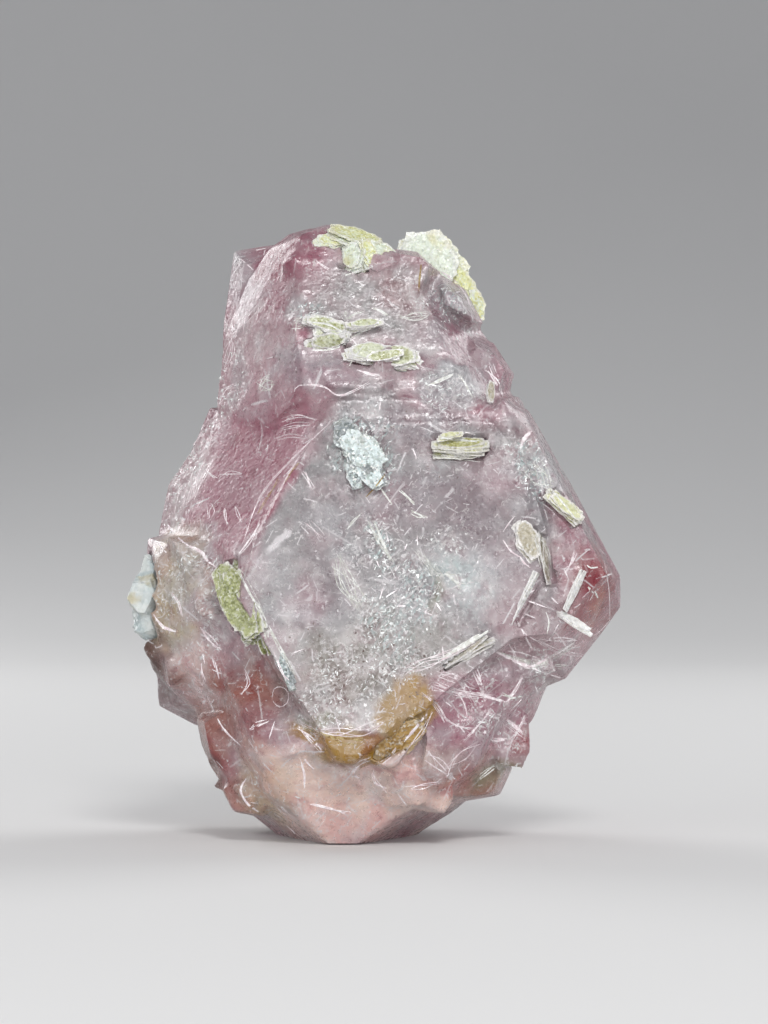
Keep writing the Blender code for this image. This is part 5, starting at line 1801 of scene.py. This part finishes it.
TAN = MicaFinish(
    "mica_tan", linear(216, 211, 200), linear(170, 160, 136), linear(158, 138, 104),
    0.4, 0.3, 0.8, deepening=(0.3, 0.7))
OCHRE = MicaFinish(
    "mica_ochre", linear(190, 156, 92), linear(160, 122, 60), linear(138, 100, 48), 0.4, 0.42, 0.15)


@dataclass(frozen=True)
class MicaPiece:
    """A mica piece: the node that it stands for, its slot, its finish and its books."""

    node: str
    slot: str
    finish: MicaFinish
    books: tuple[MicaBook, ...]

    def build(self, stack: SheetStack, finish: bpy.types.Material) -> bpy.types.Object:
        """Makes the piece.

        Args:
            stack: The sheet maker.
            finish: The material to use.

        Returns:
            The finished piece.
        """
        whole = bmesh.new()
        for book in self.books:
            mesh = stack.grow(book, finish)
            whole.from_mesh(mesh)
            bpy.data.meshes.remove(mesh)
        mesh = bpy.data.meshes.new(self.node + "_sheets")
        whole.to_mesh(mesh)
        whole.free()
        mesh.materials.append(finish)
        mesh.shade_flat()
        piece = link(self.node + "_sheets", mesh)
        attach(piece, ROOT)
        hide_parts(self.node)
        return piece


MICA = (
    MicaPiece("mica_book_top_right", "mica_pale", PALE, (
        MicaBook((4.1, 2.4, 44.4), (-0.10, -1.0, 0.16), (-0.06, 0.16, 1), 2.75, 2.9, 3.2, 16, 11),
        MicaBook((6.6, 2.2, 42.8), (0.20, -1.0, 0.10), (0.45, 0, -1), 2.3, 1.15, 2.6, 13, 12),
        MicaBook((7.9, 1.9, 41.6), (0.30, -1.0, 0.05), (0.1, 0, -1), 1.5, 0.65, 2.0, 10, 13),
    )),
    MicaPiece("mica_cluster_top", "mica_pale", PALE, (
        MicaBook((-1.7, -3.2, 46.45), (0.25, -0.5, 0.85), (1, 0.1, -0.1), 2.2, 1.5, 1.5, 10, 21),
        MicaBook((-1.3, -4.5, 45.1), (-0.5, -0.8, 0.25), (0.25, -0.1, -1), 1.5, 1.1, 1.6, 10, 22),
        MicaBook((0.6, -3.6, 45.3), (0.45, -0.6, 0.5), (1, 0, -0.7), 1.5, 0.9, 1.2, 8, 23),
        MicaBook((-3.2, -4.0, 46.3), (0.1, -0.8, 0.6), (1, 0, 0.15), 1.5, 0.7, 0.7, 6, 24),
        MicaBook((-0.4, -5.0, 45.2), (0.3, -0.9, 0.3), (0.3, 0, -1), 1.3, 0.7, 0.7, 6, 25),
    )),
    MicaPiece("mica_bent_leaf", "mica_green", MINT, (
        MicaBook((-3.5, -8.2, 38.5), (0.12, -0.90, -0.40), (1, 0.02, 0.16), 1.8, 0.62, 0.4, 5, 31, -40),
        MicaBook((-3.5, -8.1, 39.7), (0.20, -0.88, 0.42), (1, 0.06, -0.38), 1.9, 0.62, 0.4, 5, 32, -40),
        MicaBook((-0.7, -7.8, 39.7), (0.05, -0.85, 0.50), (1, 0.0, 0.30), 1.5, 0.36, 0.8, 5, 33, 0, 1),
        MicaBook((-3.1, -8.0, 39.1), (0.15, -0.98, 0.02), (1, 0, 0), 1.45, 0.95, 0.3, 3, 34, -30),
    )),
    MicaPiece("mica_book_upper", "mica_green", MINT, (
        MicaBook((-0.4, -8.25, 37.5), (0.10, -0.85, 0.53), (1, 0, 0.10), 2.1, 0.8, 0.6, 6, 41),
        MicaBook((1.7, -8.25, 37.2), (-0.10, -0.88, 0.42), (1, 0, -0.25), 2.1, 0.85, 0.7, 7, 42),
        MicaBook((2.4, -8.2, 36.5), (0.0, -0.9, -0.25), (1, 0, -0.12), 1.3, 0.4, 0.4, 4, 43),
        MicaBook((0.9, -9.05, 37.3), (0.05, -0.93, 0.36), (1, 0, 0.12), 1.6, 0.42, 0.4, 4, 46),
    )),
    MicaPiece("mica_book_right", "mica_green", CREAM, (
        MicaBook((6.5, -10.3, 30.2), (0.02, -0.60, 0.80), (1, 0.05, -0.12), 2.2, 0.9, 1.1, 9, 51),
        MicaBook((5.8, -10.9, 31.2), (0.0, -0.86, 0.50), (1, 0.0, 0.20), 1.1, 0.30, 0.3, 4, 52),
    )),
    MicaPiece("mica_wedge_left", "mica_green", GREEN, (
        MicaBook((-9.9, -11.3, 18.7), (-0.45, -0.88, 0.20), (0.46, -0.1, -1), 3.5, 1.35, 1.6, 12, 61),
        MicaBook((-8.7, -12.0, 17.3), (0.45, -0.86, 0.20), (0.46, -0.1, -1), 2.9, 0.6, 0.8, 8, 62),
    )),
    MicaPiece("mica_blade_left", "mica_silver", SILVER, (
        MicaBook((-6.9, -12.9, 14.3), (-0.35, -0.92, 0.2), (0.46, -0.10, -0.95), 2.7, 0.40, 0.6, 6, 71),
    )),
    MicaPiece("mica_wedge_right", "mica_green", CREAM, (
        MicaBook((14.5, -9.9, 25.8), (0.30, -0.92, 0.2), (1, 0.1, -0.80), 2.0, 0.55, 0.8, 7, 81),
    )),
    MicaPiece("mica_book_lower_right", "mica_tan", TAN, (
        MicaBook((11.7, -10.8, 23.2), (0.10, -0.98, 0.1), (0.5, 0.05, -0.9), 1.6, 0.9, 0.7, 6, 91),
        MicaBook((12.9, -10.6, 21.9), (0.90, -0.40, 0.2), (0.12, 0.0, -1), 2.3, 0.6, 0.4, 5, 92),
    )),
    MicaPiece("mica_blade_lower", "mica_tan", TAN, (
        MicaBook((7.1, -12.0, 14.8), (-0.45, -0.5, 0.8), (0.83, 0.02, 0.56), 2.5, 0.6, 0.55, 5, 101),
    )),
    MicaPiece("mica_needle_centre", "mica_silver", NEEDLE, (
        MicaBook((11.4, -11.4, 18.9), (0.70, -0.55, -0.3), (0.46, 0.02, 0.89), 2.4, 0.26, 0.3, 2, 111, 0, 1),
    )),
    MicaPiece("mica_needle_red", "mica_silver", NEEDLE, (
        MicaBook((15.2, -11.0, 19.5), (0.75, -0.55, -0.3), (0.42, 0.02, 0.90), 2.2, 0.32, 0.36, 3, 121, 0, 1),
    )),
    MicaPiece("mica_blade_red", "mica_silver", NEEDLE, (
        MicaBook((15.2, -11.0, 17.0), (0.35, -0.60, 0.72), (0.83, 0.04, -0.56), 1.75, 0.42, 0.4, 3, 131, 0, 1),
    )),
    MicaPiece("mica_sheet_silver", "mica_silver", SILVER, (
        MicaBook((-2.0, -10.9, 31.2), (0.02, -0.988, 0.15), (0.35, -0.14, -0.9), 1.6, 1.0, 0.5, 5, 141, 0, 4),
        MicaBook((-0.9, -11.1, 29.9), (0.06, -0.988, 0.13), (0.75, -0.14, -0.7), 1.9, 1.2, 0.5, 5, 142, 0, 4),
        MicaBook((-0.3, -11.2, 28.6), (-0.04, -0.988, 0.18), (0.42, -0.14, -0.9), 1.7, 0.9, 0.4, 5, 143, 0, 4),
        MicaBook((-1.5, -11.2, 28.2), (0.02, -0.988, 0.15), (0.30, -0.14, -0.9), 1.1, 0.5, 0.3, 4, 144, 0, 3),
    )),
    MicaPiece("mica_book_ochre", "mica_tan", OCHRE, (
        MicaBook((1.9, -12.1, 8.3), (0.25, -0.85, -0.46), (0.72, 0.0, 0.69), 3.0, 1.35, 1.0, 7, 151),
    )),
    MicaPiece("mica_flake_brown", "mica_tan", TAN, (
        MicaBook((8.9, -8.5, 34.5), (0.55, -0.75, 0.35), (0.35, 0.0, 0.94), 1.0, 0.36, 0.35, 4, 161),
    )),
    MicaPiece("mica_book_back", "mica_green", GREEN, (
        MicaBook((4.6, 11.6, 20.6), (0.25, 0.9, 0.30), (1, -0.2, 0.35), 2.9, 1.7, 1.8, 11, 171),
    )),
    MicaPiece("mica_book_back_low", "mica_green", GREEN, (
        MicaBook((-7.4, 9.6, 12.2), (-0.30, 0.85, 0.42), (0.7, 0.1, 0.7), 2.2, 1.2, 1.4, 9, 181),
    )),
)


@dataclass
class AlbiteCluster:
    """The pale crystals on the left edge."""

    node: str = "albite_crystals"
    voxel: float = 0.00012
    finish: AlbiteFinish = field(default_factory=AlbiteFinish)

    def build(self) -> bpy.types.Object:
        """Makes the albite.

        Returns:
            The finished piece.
        """
        source = CrystalBody(node=self.node, voxel=self.voxel, edge_pull=self.voxel * 0.7, mica_reach=0.0)
        solid = source.solid()
        mesh = source.remeshed(solid)
        source.snap(mesh, solid)
        solid.free()
        points = points_of(mesh) / MM
        wide, _ = Grain.chips(points, 0.9, 201)
        small, _ = Grain.chips(points, 0.4, 211)
        sink = np.clip(0.4 + 0.3 * wide + 0.2 * small, 0, 1) * 0.16 * MM
        move_points(mesh, points_of(mesh) - normals_of(mesh) * sink[:, None])
        mesh.shade_smooth()
        mesh.set_sharp_from_angle(angle=SPLIT_ANGLE)
        mesh.materials.clear()
        mesh.materials.append(self.finish.build())
        piece = link("albite_surface", mesh)
        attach(piece, ROOT)
        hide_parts(self.node)
        return piece


@dataclass
class Studio:
    """The floor, the light and the camera."""

    camera_distance: float = 0.300
    camera_x: float = 0.0008
    camera_z: float = 0.0254
    lens: float = 134.25
    floor_half: float = 1.2
    bend_start: float = 0.35
    bend_radius: float = 0.5

    def floor(self) -> bpy.types.Object:
        """A pale board that curves up behind the specimen.

        Returns:
            The board.
        """
        mesh_data = bmesh.new()
        profile = [(-self.floor_half, 0.0), (self.bend_start, 0.0)]
        for i in range(1, 17):
            angle = math.radians(90 * i / 16)
            profile.append((self.bend_start + self.bend_radius * math.sin(angle),
                            self.bend_radius * (1 - math.cos(angle))))
        profile.append((self.bend_start + self.bend_radius, self.floor_half))
        sides = (-self.floor_half, self.floor_half)
        rows = [[mesh_data.verts.new((x, y, z)) for x in sides] for y, z in profile]
        for low, high in zip(rows, rows[1:], strict=False):
            mesh_data.faces.new((low[0], low[1], high[1], high[0]))
        mesh = bpy.data.meshes.new("floor")
        mesh_data.to_mesh(mesh)
        mesh_data.free()
        mesh.shade_smooth()
        mesh.materials.append(FloorFinish().build())
        floor = link("floor", mesh)
        return floor

    def lamp(self, name: str, place: tuple[float, float, float], size: float, power: float,
             colour: tuple[float, float, float] = (1.0, 1.0, 1.0)) -> None:
        """A square soft light that looks at the specimen's middle.

        Args:
            name: The light's name.
            place: Where it is, in metres.
            size: Its width in metres.
            power: Its power in watts.
            colour: Its colour.
        """
        data = bpy.data.lights.new(name, "AREA")
        data.shape = "SQUARE"
        data.size = size
        data.energy = power
        data.color = colour
        lamp = bpy.data.objects.new(name, data)
        lamp.location = place
        target = Vector((0.0, 0.0, 0.024))
        lamp.rotation_euler = (target - lamp.location).to_track_quat("-Z", "Y").to_euler()
        bpy.context.scene.collection.objects.link(lamp)

    def lights(self) -> None:
        """Soft light from above and both sides, with one smaller light for glints."""
        self.lamp("key", (0.06, -0.40, 0.34), 0.12, 1.1)
        self.lamp("front", (0.02, -0.52, 0.03), 0.30, 1.25)
        self.lamp("side", (-0.38, -0.33, 0.17), 0.40, 0.42, (1.0, 0.99, 0.98))
        self.lamp("back_left", (-0.28, 0.31, 0.20), 0.25, 0.8)
        self.lamp("back_right", (0.32, 0.22, 0.24), 0.25, 0.8)
        world = bpy.data.worlds.new("studio")
        world.use_nodes = True
        world.node_tree.nodes["Background"].inputs[0].default_value = (0.93, 0.95, 1.0, 1.0)
        world.node_tree.nodes["Background"].inputs[1].default_value = 0.30
        bpy.context.scene.world = world

    def camera(self) -> None:
        """A level camera at the photograph's angle."""
        data = bpy.data.cameras.new("camera")
        data.lens = self.lens
        data.sensor_width = 36.0
        data.clip_start = 0.01
        camera = bpy.data.objects.new("camera", data)
        camera.location = (self.camera_x, -self.camera_distance, self.camera_z)
        camera.rotation_euler = (math.radians(90), 0.0, 0.0)
        bpy.context.scene.collection.objects.link(camera)
        bpy.context.scene.camera = camera

    def build(self) -> None:
        """Sets up the whole stage."""
        self.floor()
        self.lights()
        self.camera()
        scene = bpy.context.scene
        scene.view_settings.view_transform = "Standard"
        scene.cycles.use_denoising = True
        scene.cycles.max_bounces = 6
        scene.cycles.diffuse_bounces = 2
        scene.cycles.glossy_bounces = 3
        scene.cycles.transmission_bounces = 5
        scene.cycles.sample_clamp_indirect = 4.0


def main() -> None:
    """Builds every piece in order."""
    logging.basicConfig(level=logging.INFO, format="%(message)s")
    Studio().build()
    body = CrystalBody().build()
    LOG.info("%s: %d faces", body.name, len(body.data.polygons))
    maker = SprayMaker()
    for spray in SPRAYS:
        obj = spray.build(maker, body)
        LOG.info("%s: %d faces", obj.name, len(obj.data.polygons))
    albite = AlbiteCluster().build()
    LOG.info("%s: %d faces", albite.name, len(albite.data.polygons))
    stack = SheetStack()
    finishes = {piece.finish.name: piece.finish.build() for piece in MICA}
    carriers = [body]
    for piece in MICA:
        obj = piece.build(stack, finishes[piece.finish.name])
        LOG.info("%s: %d faces", obj.name, len(obj.data.polygons))
        carriers.append(obj)
    veil_maker = VeilMaker(surface_of(carriers))
    for kind in Strand:
        obj = veil_maker.build(kind, VEILS)
        LOG.info("%s: %d faces", obj.name, len(obj.data.polygons))


if __name__ == "__main__":
    main()
